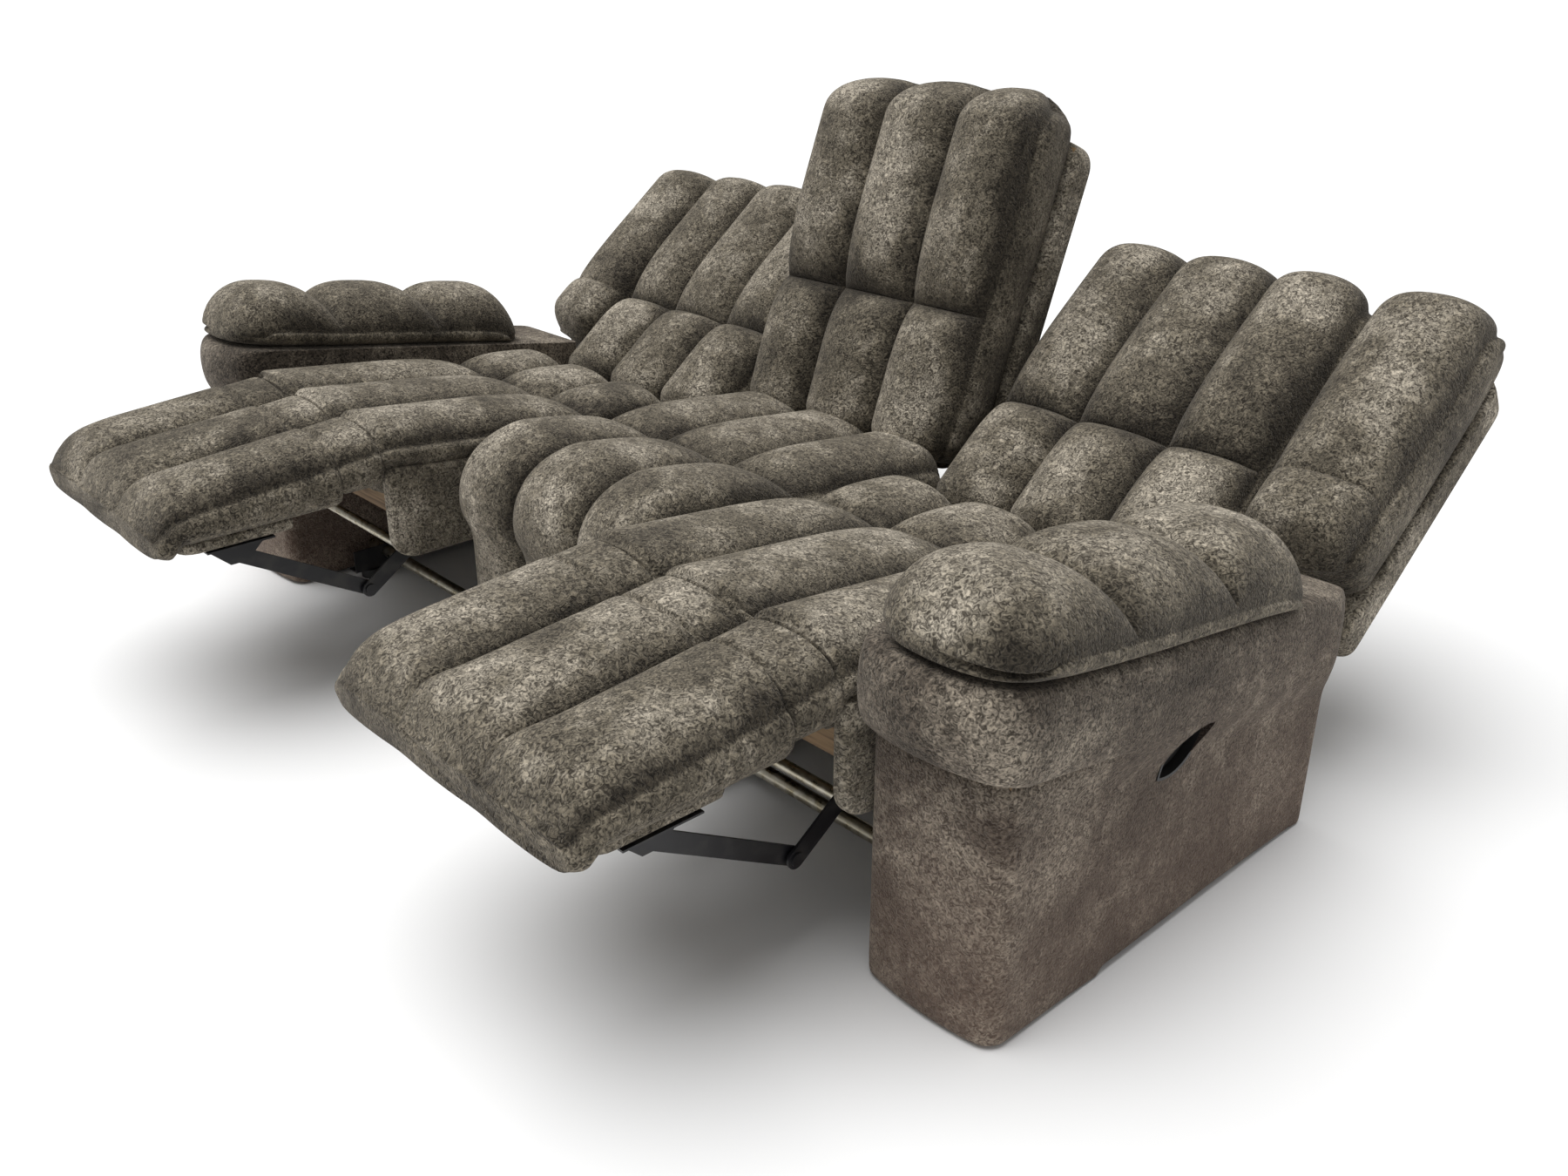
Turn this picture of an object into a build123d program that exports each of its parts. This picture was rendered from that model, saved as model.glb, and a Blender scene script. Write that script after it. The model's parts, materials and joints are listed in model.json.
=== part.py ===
from build123d import *
import os
from math import asin, atan2, cos, degrees, hypot, radians, sin

# Three-seat reclining sofa, millimetres, +Z up, front towards -Y.
# Both outer seats stand reclined with their footrests out, the centre seat is fixed.
# Every piece of an outer seat is drawn on the right side, and the left one is its mirror image.
# Side view points are measured back from the arm fronts and up from the floor.

# Overall layout
overall_width = 2200
arm_width = 228
arm_depth = 784
arm_front = -454
centre_width = 590
bay_gap = 5
floor_gap = 20
part_gap = 0.4

# Arms
arm_skin = 11
arm_board = 18
arm_box_top = 395
arm_slope = 0.15
arm_front_bow = 9
arm_corner = 26
roll_bottom = 405
roll_top = 532
roll_front = 64
roll_side = 24
roll_round = 44
arm_pad_front = -22
arm_pad_rear = 640
arm_pad_height = 74
arm_pad_crown = 26
arm_pad_bulge = 12
arm_pad_channels = 3
arm_pad_sections = ((0, 0.25), (0.22, 0.85), (0.5, 1), (0.78, 0.85), (1, 0.25))
arm_pad_seam_share = 0.86
arm_pad_end_share = 0.55
arm_pad_lip = 6
arm_pad_least_crown = 4
arm_pad_edge = 20

# Release latch in each outer arm side
latch_back = 366
latch_up = 309
latch_tilt = 29
latch_length = 112
latch_width = 50
latch_wall = 3
latch_depth = 34
latch_rim = 5
latch_rim_thick = 2
lever_thick = 6
lever_inset = 12
lever_gap = 2
lever_pin_back = 30
lever_pin_radius = 2.5

# Seat boxes
panel_thick = 30
panel_front = -35
panel_rear = 590
panel_bottom = 250
panel_top_front = 432
panel_corner = 38
deck_front = 367
deck_slope = 0.105
rail_thick = 19
seat_frame_front = 20
seat_frame_rear = 590
front_rail_bottom = 300
spring_count = 5
spring_wire = 4
spring_width = 34
spring_pitch = 88

# Seat cushions
seat_cushion_front = -37
seat_cross_seam = 425
seat_cushion_rear = 655
seat_cushion_height = 106
seat_crown = 27
seat_sink = 0.1
seat_lip = 68
channel_count = 3
cushion_edge = 12
fold_rise = 0.55
nose_rise = 0.9

# Footrest
footrest_front = -447
footrest_rear = -118
footrest_side_gap = 33
board_front = -436
board_rear = -200
board_bottom = 352
board_thick = 25
board_corner = 16
footrest_seam_rear = 467
footrest_seam_front = 436
footrest_crown = 22
footrest_nose = 46
flap_bottom = 396

# Backs, measured along and out from the flush rear face of the reclined back
back_foot_back = 887
back_foot_up = 238
back_recline = 52
back_swing = 31
back_pivot_back = 620
back_pivot_up = 275
back_panel_thick = 18
back_frame_thick = 40
back_seam_depth = 180
back_crown = 40
back_bottom = -80
back_wing_bottom = 60
back_wing_panel_bottom = 6
back_mid_seam = 197
back_top = 640
back_frame_top = 566
back_leg_bottom = -140
back_stile = 38
back_upper_rail = 362
back_wing_width = 212
back_side_gap = 3
back_frame_inset = 14
back_inset = 14
back_lip = 10
back_sink = 0.07
leg_shares = (0.15, 0.7)
back_panel_corner = 40

# Centre seat
centre_frame_front = 172
centre_frame_rear = 760
centre_cushion_rear = 788
centre_apron_bottom = 118
centre_apron_thick = 44
centre_nose = 12
centre_bracket_up = 190
centre_stile_inset = 42.5
centre_leg_shares = (0.1, 0.85)
centre_back_foot_back = 1012
centre_back_foot_up = 405

# Mechanism, stamped steel on both sides of each outer seat
plate = 3
link_thick = 4
plate_gap = 1
link_width = 30
pivot_radius = 6
pivot_fit = 0.05
rivet_radius = 10
rivet_head = 3
seat_slide = 120
lift_length = 125
lift_foot_up = 86
front_lift_back = 330
rear_lift_back = 500
bracket_front = 92
bracket_bottom = 178
bracket_top = 346
bracket_ear = 17
rail_front = 110
rail_rear = 640
rail_flange = 32
rail_web_top = 70
rail_ear = 20
lower_pivot_back = 120
lower_pivot_up = 320
knee_back = -70
knee_up = 190
upper_pivot_back = -300
upper_pivot_up = 325
stretcher_share = 0.56
stretcher_radius = 9
tie_radius = 12.5
tie_wall = 2
tie_up = 52
front_tie_back = 190
rear_tie_back = 590
foot_radius = 24
foot_inset = 45
bolt_radius = 5
bolt_head_radius = 9
bolt_head = 6
bolt_reach = 22

# Values worked out from the sizes above
arm_inner = overall_width / 2 - arm_width
arm_outer = overall_width / 2
arm_mid = (arm_inner + arm_outer) / 2
centre_half = centre_width / 2
bay_mid = (centre_half + arm_inner) / 2
seat_half = (arm_inner - centre_half) / 2 - bay_gap
panel_inner = seat_half - panel_thick
rail_inner = panel_inner - rail_thick
bracket_inner = rail_inner - plate
lower_inner = bracket_inner - plate_gap - link_thick
web_inner = lower_inner - plate_gap - plate
upper_inner = web_inner - plate_gap - link_thick
footrest_half = seat_half
board_half = footrest_half - footrest_side_gap
lift_swing = 2 * degrees(asin(seat_slide / 2 / lift_length))
lift_rise = lift_length * cos(radians(lift_swing / 2))
lift_lean = seat_slide / 2
back_along = radians(90 - back_recline)
centre_along = radians(90 - back_recline + back_swing)


def at(back, up):
    """A side view point from its distance behind the arm fronts and above the floor."""
    return (arm_front + back, up)


def deck(back):
    """Height of the spring deck at a distance behind the arm fronts."""
    return deck_front - deck_slope * back


def side_plane(x):
    """The side view plane at x, with local axes back and up."""
    return Plane.YZ.offset(x)


def cross_plane(back, up):
    """An upright plane across the sofa, with local axes right and up."""
    return Plane(origin=(0, arm_front + back, up), x_dir=(1, 0, 0), z_dir=(0, -1, 0))


def save(piece, name):
    """Labels a piece and writes it under its name."""
    piece.label = name
    export_step(piece, f"parts/{name}.step")


def save_pair(piece, name):
    """Writes the right-hand piece and its mirror image."""
    save(mirror(piece, about=Plane.YZ), f"{name}_left")
    save(piece, f"{name}_right")


def channel_section(plane, seams, inset, lip, height, crown, edge=cushion_edge):
    """Cross-section of a channelled cushion: flat base, drawn-in lip, bulged sides, one arc per channel."""
    left, right = seams[0], seams[-1]
    shoulder = min(lip + edge / 4, height - edge / 4)
    tops = [left + edge] + list(seams[1:-1]) + [right - edge]
    with BuildSketch(plane) as section:
        with BuildLine():
            Polyline((right - edge, shoulder), (right - inset, lip), (right - inset, 0),
                     (left + inset, 0), (left + inset, lip), (left + edge, shoulder))
            ThreePointArc((left + edge, shoulder), (left, (shoulder + height) / 2), (left + edge, height))
            for start, end in zip(tops, tops[1:]):
                ThreePointArc((start, height), ((start + end) / 2, height + crown), (end, height))
            ThreePointArc((right - edge, height), (right, (shoulder + height) / 2), (right - edge, shoulder))
        make_face()
    return section.sketch


def even_seams(middle, half, count):
    """Seam places of equal channels about a middle line."""
    return [middle - half + 2 * half * i / count for i in range(count + 1)]


def link_shape(plane, start, end, width, hole):
    """Outline of a stamped link: a round-ended bar with a pivot hole at each end, or none where hole is 0."""
    middle = ((start[0] + end[0]) / 2, (start[1] + end[1]) / 2)
    length = hypot(end[0] - start[0], end[1] - start[1])
    slope = degrees(atan2(end[1] - start[1], end[0] - start[0]))
    with BuildSketch(plane) as shape:
        with Locations(middle):
            SlotCenterToCenter(length, width, rotation=slope)
        if hole:
            with Locations(start, end):
                Circle(hole, mode=Mode.SUBTRACT)
    return shape.sketch


os.makedirs("parts", exist_ok=True)

# Arm: inner box, open at the top, with a bottom board and the latch window in its outer wall
latch_mid = at(latch_back, latch_up)


def leaf(grow):
    """Leaf outline of the latch opening, grown all round."""
    length = latch_length / 2 + grow
    width = latch_width / 2 + grow
    with BuildSketch() as outline:
        with BuildLine():
            ThreePointArc((-length, 0), (0, width), (length, 0))
            ThreePointArc((length, 0), (0, -width), (-length, 0))
        make_face()
    return outline.sketch


def latch_plane(depth):
    """Plane of the latch at a depth inside the arm's outer side, with its first axis along the leaf."""
    tilt = radians(latch_tilt)
    return Plane(origin=(arm_outer - depth, *latch_mid), x_dir=(0, cos(tilt), sin(tilt)), z_dir=(1, 0, 0))


tie_places = [at(front_tie_back, tie_up), at(rear_tie_back, tie_up)]
box_width = arm_width - 2 * arm_skin
box_depth = arm_depth - 2 * arm_skin
box_height = arm_box_top - floor_gap
with BuildPart() as arm_frame:
    with Locations((arm_mid, arm_front + arm_depth / 2, floor_gap)):
        Box(box_width, box_depth, box_height, align=(Align.CENTER, Align.CENTER, Align.MIN))
    offset(amount=-arm_board, openings=arm_frame.faces().sort_by(Axis.Z)[-1])
    add(extrude(latch_plane(0) * leaf(latch_wall + part_gap), amount=-arm_skin - arm_board, mode=Mode.PRIVATE),
        mode=Mode.SUBTRACT)
    with BuildSketch(side_plane(arm_inner)):
        with Locations(*tie_places):
            Circle(bolt_radius + part_gap)
    extrude(amount=arm_skin + arm_board, mode=Mode.SUBTRACT)
save_pair(arm_frame.part, "arm_frame")

# Arm cover: padded sleeve with a bowed front and the thick roll around its top edge, sloping down to the rear
roll_turn = atan2(arm_slope, 1)
roll_height = (roll_top - roll_bottom) * cos(roll_turn)
roll_length = arm_depth / cos(roll_turn)
roll_plane = Plane(origin=(0, arm_front, roll_bottom), x_dir=(1, 0, 0), z_dir=(0, sin(roll_turn), cos(roll_turn)))
with BuildPart() as arm_cover:
    with BuildSketch(Plane.XY.offset(floor_gap)):
        with BuildLine():
            Polyline((arm_outer, arm_front), (arm_outer, arm_front + arm_depth),
                     (arm_inner, arm_front + arm_depth), (arm_inner, arm_front))
            ThreePointArc((arm_inner, arm_front), (arm_mid, arm_front - arm_front_bow), (arm_outer, arm_front))
        make_face()
    extrude(amount=roll_top - floor_gap)
    front_corner = arm_cover.edges().filter_by(Axis.Z).filter_by(lambda e: e.center().Y < 0).sort_by(Axis.X)[-1]
    fillet(front_corner, radius=arm_corner)
    split(bisect_by=roll_plane.offset(roll_height / 2), keep=Keep.BOTTOM)
    with BuildSketch(roll_plane):
        with BuildLine():
            Polyline((arm_outer + roll_side, 0), (arm_outer + roll_side, roll_length), (arm_inner, roll_length),
                     (arm_inner, 0))
            ThreePointArc((arm_outer + roll_side, 0), (arm_mid, -roll_front), (arm_inner, 0))
        make_face()
    extrude(amount=roll_height)
    roll_face = arm_cover.faces().sort_by(Axis((0, 0, 0), tuple(roll_plane.z_dir)))[-1]
    rim = roll_face.edges().filter_by(lambda e: e.center().X > arm_inner + 1)
    fillet(rim, radius=roll_round)
    with Locations((arm_mid, arm_front + arm_depth / 2, floor_gap)):
        Box(box_width, box_depth, box_height, align=(Align.CENTER, Align.CENTER, Align.MIN), mode=Mode.SUBTRACT)
    add(extrude(latch_plane(0) * leaf(latch_wall + part_gap), amount=-arm_skin, mode=Mode.PRIVATE),
        mode=Mode.SUBTRACT)
    with BuildSketch(side_plane(arm_inner)):
        with Locations(*tie_places):
            Circle(bolt_radius + part_gap)
    extrude(amount=arm_skin, mode=Mode.SUBTRACT)
save_pair(arm_cover.part, "arm_cover")

# Arm pad: pillow top in cross channels, overhanging the roll on both sides
pad_half = (arm_outer + roll_side - arm_inner) / 2 - part_gap
pad_mid = (arm_outer + roll_side + arm_inner) / 2
pad_step = (arm_pad_rear - arm_pad_front) / arm_pad_channels
pad_rows = []
for channel in range(arm_pad_channels):
    row = []
    for share, rise in arm_pad_sections:
        outer_end = (channel == 0 and share == 0) or (channel == arm_pad_channels - 1 and share == 1)
        full_share = arm_pad_seam_share + (1 - arm_pad_seam_share) * rise
        height = arm_pad_height * (arm_pad_end_share if outer_end else full_share)
        half = pad_half - arm_pad_bulge * (1 - rise)
        back = arm_pad_front + pad_step * (channel + share)
        plane = cross_plane(back, roll_top - arm_slope * back + part_gap)
        seams = (pad_mid - half, pad_mid + half)
        crown = arm_pad_crown * rise + arm_pad_least_crown
        row.append(channel_section(plane, seams, arm_pad_bulge, arm_pad_lip, height, crown, arm_pad_edge))
    pad_rows.append(row)
with BuildPart() as arm_pad:
    for row in pad_rows:
        loft(sections=row)
save_pair(arm_pad.part, "arm_pad")

# Latch cup: leaf-shaped shell with a rim on the fabric and a pin hole for the lever
lever_plane = latch_plane(lever_inset + lever_thick)
lever_pin_reach = latch_width / 2 * (1 - (lever_pin_back / (latch_length / 2)) ** 2) + latch_wall - 1
pin_plane = Plane(origin=lever_plane.from_local_coords((lever_pin_back, 0, lever_thick / 2)),
                  x_dir=(1, 0, 0), z_dir=lever_plane.y_dir)
with BuildPart() as latch_cup:
    add(extrude(latch_plane(latch_depth) * leaf(latch_wall), amount=latch_depth + latch_rim_thick, mode=Mode.PRIVATE))
    add(extrude(latch_plane(0) * leaf(latch_rim), amount=latch_rim_thick, mode=Mode.PRIVATE))
    add(extrude(latch_plane(latch_depth - latch_wall) * leaf(0), amount=latch_depth, mode=Mode.PRIVATE),
        mode=Mode.SUBTRACT)
    with BuildSketch(pin_plane):
        Circle(lever_pin_radius + pivot_fit)
    extrude(amount=lever_pin_reach, both=True, mode=Mode.SUBTRACT)
save_pair(latch_cup.part, "latch_cup")

# Latch lever: thin leaf paddle with a finger edge, turning on two stub pins
with BuildPart() as latch_lever:
    add(extrude(lever_plane * leaf(-lever_gap), amount=lever_thick, mode=Mode.PRIVATE))
    with BuildSketch(pin_plane):
        Circle(lever_pin_radius)
    extrude(amount=lever_pin_reach - part_gap, both=True)
save_pair(latch_lever.part, "latch_lever")

# Seat box frame: side rails along the sloping deck, front and rear cross rails
frame_top_drop = spring_wire
with BuildPart() as seat_frame:
    with BuildSketch(side_plane(bay_mid - panel_inner)):
        Polygon(at(seat_frame_front, panel_bottom), at(seat_frame_rear, panel_bottom),
                at(seat_frame_rear, deck(seat_frame_rear) - frame_top_drop),
                at(seat_frame_front, deck(seat_frame_front) - frame_top_drop), align=None)
    extrude(amount=2 * panel_inner)
    with BuildSketch(side_plane(bay_mid - rail_inner)):
        Polygon(at(seat_frame_front + rail_thick, panel_bottom), at(seat_frame_rear - rail_thick, panel_bottom),
                at(seat_frame_rear - rail_thick, deck_front), at(seat_frame_front + rail_thick, deck_front),
                align=None)
        Polygon(at(seat_frame_front, panel_bottom), at(seat_frame_front + rail_thick, panel_bottom),
                at(seat_frame_front + rail_thick, front_rail_bottom), at(seat_frame_front, front_rail_bottom),
                align=None)
    extrude(amount=2 * rail_inner, mode=Mode.SUBTRACT)
save_pair(seat_frame.part, "seat_frame")

# Upholstered side panels with rounded lower front corners
panel_drop = deck_slope * (panel_rear - panel_front)
with BuildPart() as seat_panels:
    with BuildSketch(side_plane(bay_mid + panel_inner)):
        Polygon(at(panel_front, panel_bottom), at(panel_rear, panel_bottom),
                at(panel_rear, panel_top_front - panel_drop), at(panel_front, panel_top_front), align=None)
        fillet(vertices().sort_by(Axis.X)[:2].sort_by(Axis.Y)[0], radius=panel_corner)
    extrude(amount=panel_thick)
    outer_rim = seat_panels.faces().sort_by(Axis.X)[-1].edges()
    fillet(outer_rim, radius=panel_thick / 4)
    mirror(about=Plane.YZ.offset(bay_mid))
save_pair(seat_panels.part, "seat_panels")


def spring_deck(middle, front, rear):
    """Springs from the front rail to the rear rail of one seat, flat strips along the deck."""
    with BuildPart() as springs:
        for i in range(spring_count):
            x = middle + spring_pitch * (i - (spring_count - 1) / 2) - spring_width / 2
            with BuildSketch(side_plane(x)):
                Polygon(at(front, deck(front)), at(rear, deck(rear)),
                        at(rear, deck(rear) - spring_wire), at(front, deck(front) - spring_wire), align=None)
            extrude(amount=spring_width)
    return springs.part


save_pair(spring_deck(bay_mid, seat_frame_front, seat_frame_rear), "seat_springs")

# Seat cushion: long front channels and a row of short rear ones, on the sloping deck
seat_seams = even_seams(bay_mid, seat_half, channel_count)
front_row = ((0, 1), (0.15, 0.9), (0.5, 1), (0.85, 0.9), (1, 0.3))
rear_row = ((0, 0.3), (0.25, 0.9), (0.55, 1), (0.85, 0.75), (1, 0.3))


def seat_rows(seams, front, rear, inset, front_rise):
    """Sections of the two rows of channels of a seat cushion, front to rear."""
    rows = []
    for start, end, shape in ((front, seat_cross_seam, front_row), (seat_cross_seam, rear, rear_row)):
        row = []
        for share, rise in shape:
            back = start + (end - start) * share
            if back == front:
                rise = front_rise
            height = seat_cushion_height * (1 - seat_sink * (1 - rise))
            row.append(channel_section(cross_plane(back, deck(back) + part_gap), seams, inset, seat_lip,
                                       height, seat_crown * rise))
        rows.append(row)
    return rows


seat_sections = seat_rows(seat_seams, seat_cushion_front, seat_cushion_rear, panel_thick + part_gap, fold_rise)
with BuildPart() as seat_cushion:
    for row in seat_sections:
        loft(sections=row)
save_pair(seat_cushion.part, "seat_cushion")

# Footrest board, wrapped in cloth, with rounded front corners
with BuildPart() as footrest_board:
    with BuildSketch(Plane.XY.offset(board_bottom)):
        with Locations((bay_mid, arm_front + (board_front + board_rear) / 2)):
            Rectangle(2 * board_half, board_rear - board_front)
        fillet(vertices().group_by(Axis.Y)[0], radius=board_corner)
    extrude(amount=board_thick)
    fillet(footrest_board.faces().sort_by(Axis.Z)[0].edges(), radius=board_thick / 4)
save_pair(footrest_board.part, "footrest_board")

# Footrest pad: three channels over the board with a rounded nose
board_top = board_bottom + board_thick
foot_seams = even_seams(bay_mid, footrest_half, channel_count)


def pad_seam(back):
    """Seam height of the footrest pad above the board at a distance behind the arm fronts."""
    share = (back - footrest_front) / (footrest_rear - footrest_front)
    return footrest_seam_front + (footrest_seam_rear - footrest_seam_front) * share - board_top


foot_sections = []
for back, fall, rise in ((footrest_front, 0.42, 0.3), (footrest_front + footrest_nose * 0.3, 0.72, 0.6),
                         (footrest_front + footrest_nose, 0.94, 0.9),
                         ((footrest_front + footrest_rear) / 2, 1, 1), (footrest_rear, 0.97, 0.8)):
    plane = cross_plane(back, board_top + part_gap)
    foot_sections.append(channel_section(plane, foot_seams, cushion_edge + 4, 6, pad_seam(back) * fall,
                                         footrest_crown * rise))
with BuildPart() as footrest_pad:
    loft(sections=foot_sections)
save_pair(footrest_pad.part, "footrest_pad")

# Footrest flap: the soft bridge that folds between footrest pad and seat cushion
flap_sections = []
for back, rise in ((footrest_rear + part_gap, 0.8), ((footrest_rear + seat_cushion_front) / 2, 0.9),
                   (seat_cushion_front - part_gap, 0.5)):
    plane = cross_plane(back, flap_bottom)
    height = pad_seam(back) + board_top - flap_bottom
    flap_sections.append(channel_section(plane, foot_seams, cushion_edge + 4, 6, height, footrest_crown * rise))
with BuildPart() as footrest_flap:
    loft(sections=flap_sections)
save_pair(footrest_flap.part, "footrest_flap")


# Backs: planes across the back at a distance along it, local axes right and out of its rear face
def back_plane(foot, slope, along, out):
    """Plane across a back, from its foot point and slope, with local axes right and out to the front."""
    y = foot[0] + along * cos(slope) - out * sin(slope)
    z = foot[1] + along * sin(slope) + out * cos(slope)
    return Plane(origin=(0, y, z), x_dir=(1, 0, 0), z_dir=(0, -cos(slope), -sin(slope)))


def back_face(foot, slope, out):
    """Plane along a back at a distance out from its rear face, local axes right and up the back."""
    y = foot[0] - out * sin(slope)
    z = foot[1] + out * cos(slope)
    return Plane(origin=(0, y, z), x_dir=(1, 0, 0), z_dir=(0, -sin(slope), cos(slope)))


back_pivot = at(back_pivot_back, back_pivot_up)
back_foot = at(back_foot_back, back_foot_up)
centre_foot = at(centre_back_foot_back, centre_back_foot_up)
cushion_base = back_panel_thick + back_frame_thick
cushion_depth = back_seam_depth - cushion_base
back_inner = centre_half + back_side_gap
back_outer = arm_inner + back_wing_width
wing_seam = arm_inner
low_seams = even_seams((back_inner + wing_seam) / 2, (wing_seam - back_inner) / 2, channel_count)
high_seams = low_seams + [back_outer]
lower_rise = ((0, 0.3), (0.22, 0.88), (0.5, 1), (0.78, 0.88), (1, 0.2))
upper_rise = ((0, 0.2, 1), (0.16, 0.85, 1), (0.42, 1, 1), (0.72, 0.9, 0.98), (0.87, 0.7, 0.82), (0.96, 0.5, 0.52),
              (1, 0.3, 0.3))


def back_rows(foot, slope, lower_seams, upper_seams):
    """Sections of a back cushion: the foot of the lower row, the rest of it, and the tall upper row."""
    def section(seams, along, rise, fall):
        plane = back_plane(foot, slope, along, cushion_base + part_gap)
        depth = cushion_depth * fall * (1 - back_sink * (1 - rise))
        return channel_section(plane, seams, back_inset, back_lip, depth, back_crown * rise)

    span = back_mid_seam - back_bottom
    split = (back_wing_bottom - back_bottom) / span
    foot_row = [section(lower_seams, back_bottom + span * s, r, 1) for s, r in lower_rise if s < split]
    foot_row.append(section(lower_seams, back_wing_bottom, 1, 1))
    low_row = [section(upper_seams, back_wing_bottom, 1, 1)]
    low_row += [section(upper_seams, back_bottom + span * s, r, 1) for s, r in lower_rise if s > split]
    span = back_top - back_mid_seam
    high_row = [section(upper_seams, back_mid_seam + span * s, r, f) for s, r, f in upper_rise]
    return [foot_row, low_row, high_row]


def back_panel_shape(plane, left, notch, wing):
    """Outline of an outer back: full height over the seat, a shorter wing over the arm, rounded top corners."""
    with BuildSketch(plane) as outline:
        with Locations(((left + notch) / 2, (back_bottom + back_frame_top) / 2)):
            Rectangle(notch - left, back_frame_top - back_bottom)
        if wing:
            with Locations(((notch + wing) / 2, (back_wing_panel_bottom + back_frame_top) / 2)):
                Rectangle(wing - notch, back_frame_top - back_wing_panel_bottom)
        fillet(vertices().group_by(Axis.Y)[-1], radius=back_panel_corner)
    return outline.sketch


back_sections = back_rows(back_foot, back_along, low_seams, high_seams)
with BuildPart() as back_cushion:
    for row in back_sections:
        loft(sections=row)
save_pair(back_cushion.part, "back_cushion")

with BuildPart() as back_panel:
    add(extrude(back_panel_shape(back_face(back_foot, back_along, 0), back_inner,
                                 wing_seam - bay_gap, back_outer), amount=back_panel_thick, mode=Mode.PRIVATE))
save_pair(back_panel.part, "back_panel")


def ladder(plane, middle, stile_mid, left, notch, wing):
    """Back frame: two stiles that run down into legs, a middle stile, rails, and a bay over the arm for a wing."""
    top = back_frame_top - back_frame_inset
    rail_left = left + back_frame_inset
    rail_right = notch - back_frame_inset
    with BuildSketch(plane) as frame:
        for x in (middle - stile_mid, middle + stile_mid):
            with Locations((x, (back_leg_bottom + top) / 2)):
                Rectangle(back_stile, top - back_leg_bottom)
        rails = (back_bottom + back_stile, back_mid_seam, back_upper_rail, top - back_stile)
        for height in rails:
            with Locations(((rail_left + rail_right) / 2, height + back_stile / 2)):
                Rectangle(rail_right - rail_left, back_stile)
        with Locations((middle, (rails[0] + top) / 2)):
            Rectangle(back_stile, top - rails[0])
        if wing:
            for height in (back_mid_seam, top - back_stile):
                with Locations(((rail_right + wing) / 2, height + back_stile / 2)):
                    Rectangle(wing - rail_right, back_stile)
            wing_low = back_wing_panel_bottom + back_frame_inset
            with Locations((wing - back_stile / 2, (wing_low + top) / 2)):
                Rectangle(back_stile, top - wing_low)
    return frame.sketch


back_stile_mid = lower_inner + link_thick + back_stile / 2
with BuildPart() as back_frame:
    add(extrude(ladder(back_face(back_foot, back_along, back_panel_thick), bay_mid, back_stile_mid, back_inner,
                       wing_seam - bay_gap, back_outer - back_frame_inset),
                amount=back_frame_thick, mode=Mode.PRIVATE))
save_pair(back_frame.part, "back_frame")

# Back brackets: bent steel arms from the back pivot to the legs of the back frame
def leg_point(foot, slope, share):
    """Side view point on the middle line of a back frame's leg, from its low end up to the lowest rail."""
    along = back_leg_bottom + (back_bottom + back_stile - back_leg_bottom) * share
    out = back_panel_thick + back_frame_thick / 2
    return (foot[0] + along * cos(slope) - out * sin(slope), foot[1] + along * sin(slope) + out * cos(slope))


leg_low = leg_point(back_foot, back_along, leg_shares[0])
leg_high = leg_point(back_foot, back_along, leg_shares[1])
with BuildPart() as back_brackets:
    arm_shape = link_shape(side_plane(bay_mid + lower_inner), back_pivot, leg_low, link_width, 0)
    add(extrude(arm_shape, amount=link_thick, mode=Mode.PRIVATE))
    foot_shape = link_shape(side_plane(bay_mid + lower_inner), leg_low, leg_high, link_width, 0)
    add(extrude(foot_shape, amount=link_thick, mode=Mode.PRIVATE))
    with BuildSketch(side_plane(bay_mid + lower_inner)):
        with Locations(back_pivot):
            Circle(pivot_radius + pivot_fit)
    extrude(amount=link_thick, mode=Mode.SUBTRACT)
    mirror(about=Plane.YZ.offset(bay_mid))
save_pair(back_brackets.part, "back_brackets")


# Mechanism pivots in side view
front_lift_top = at(front_lift_back, lift_foot_up + lift_rise)
rear_lift_top = at(rear_lift_back, lift_foot_up + lift_rise)
front_lift_foot = at(front_lift_back + lift_lean, lift_foot_up)
rear_lift_foot = at(rear_lift_back + lift_lean, lift_foot_up)
lower_pivot = at(lower_pivot_back, lower_pivot_up)
knee = at(knee_back, knee_up)
upper_pivot = at(upper_pivot_back, upper_pivot_up)
stretcher = (lower_pivot[0] + (knee[0] - lower_pivot[0]) * stretcher_share,
             lower_pivot[1] + (knee[1] - lower_pivot[1]) * stretcher_share)


def shoulder_rivet(places, root, inward_end, head_end):
    """Rivets standing on a plate: shanks through a link at side offsets from the bay's middle, with round heads."""
    with BuildPart() as rivets:
        with BuildSketch(side_plane(bay_mid + root)):
            with Locations(*places):
                Circle(pivot_radius)
        extrude(amount=inward_end - root)
        with BuildSketch(side_plane(bay_mid + inward_end)):
            with Locations(*places):
                Circle(rivet_radius)
        extrude(amount=head_end - inward_end)
    return rivets.part


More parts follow.
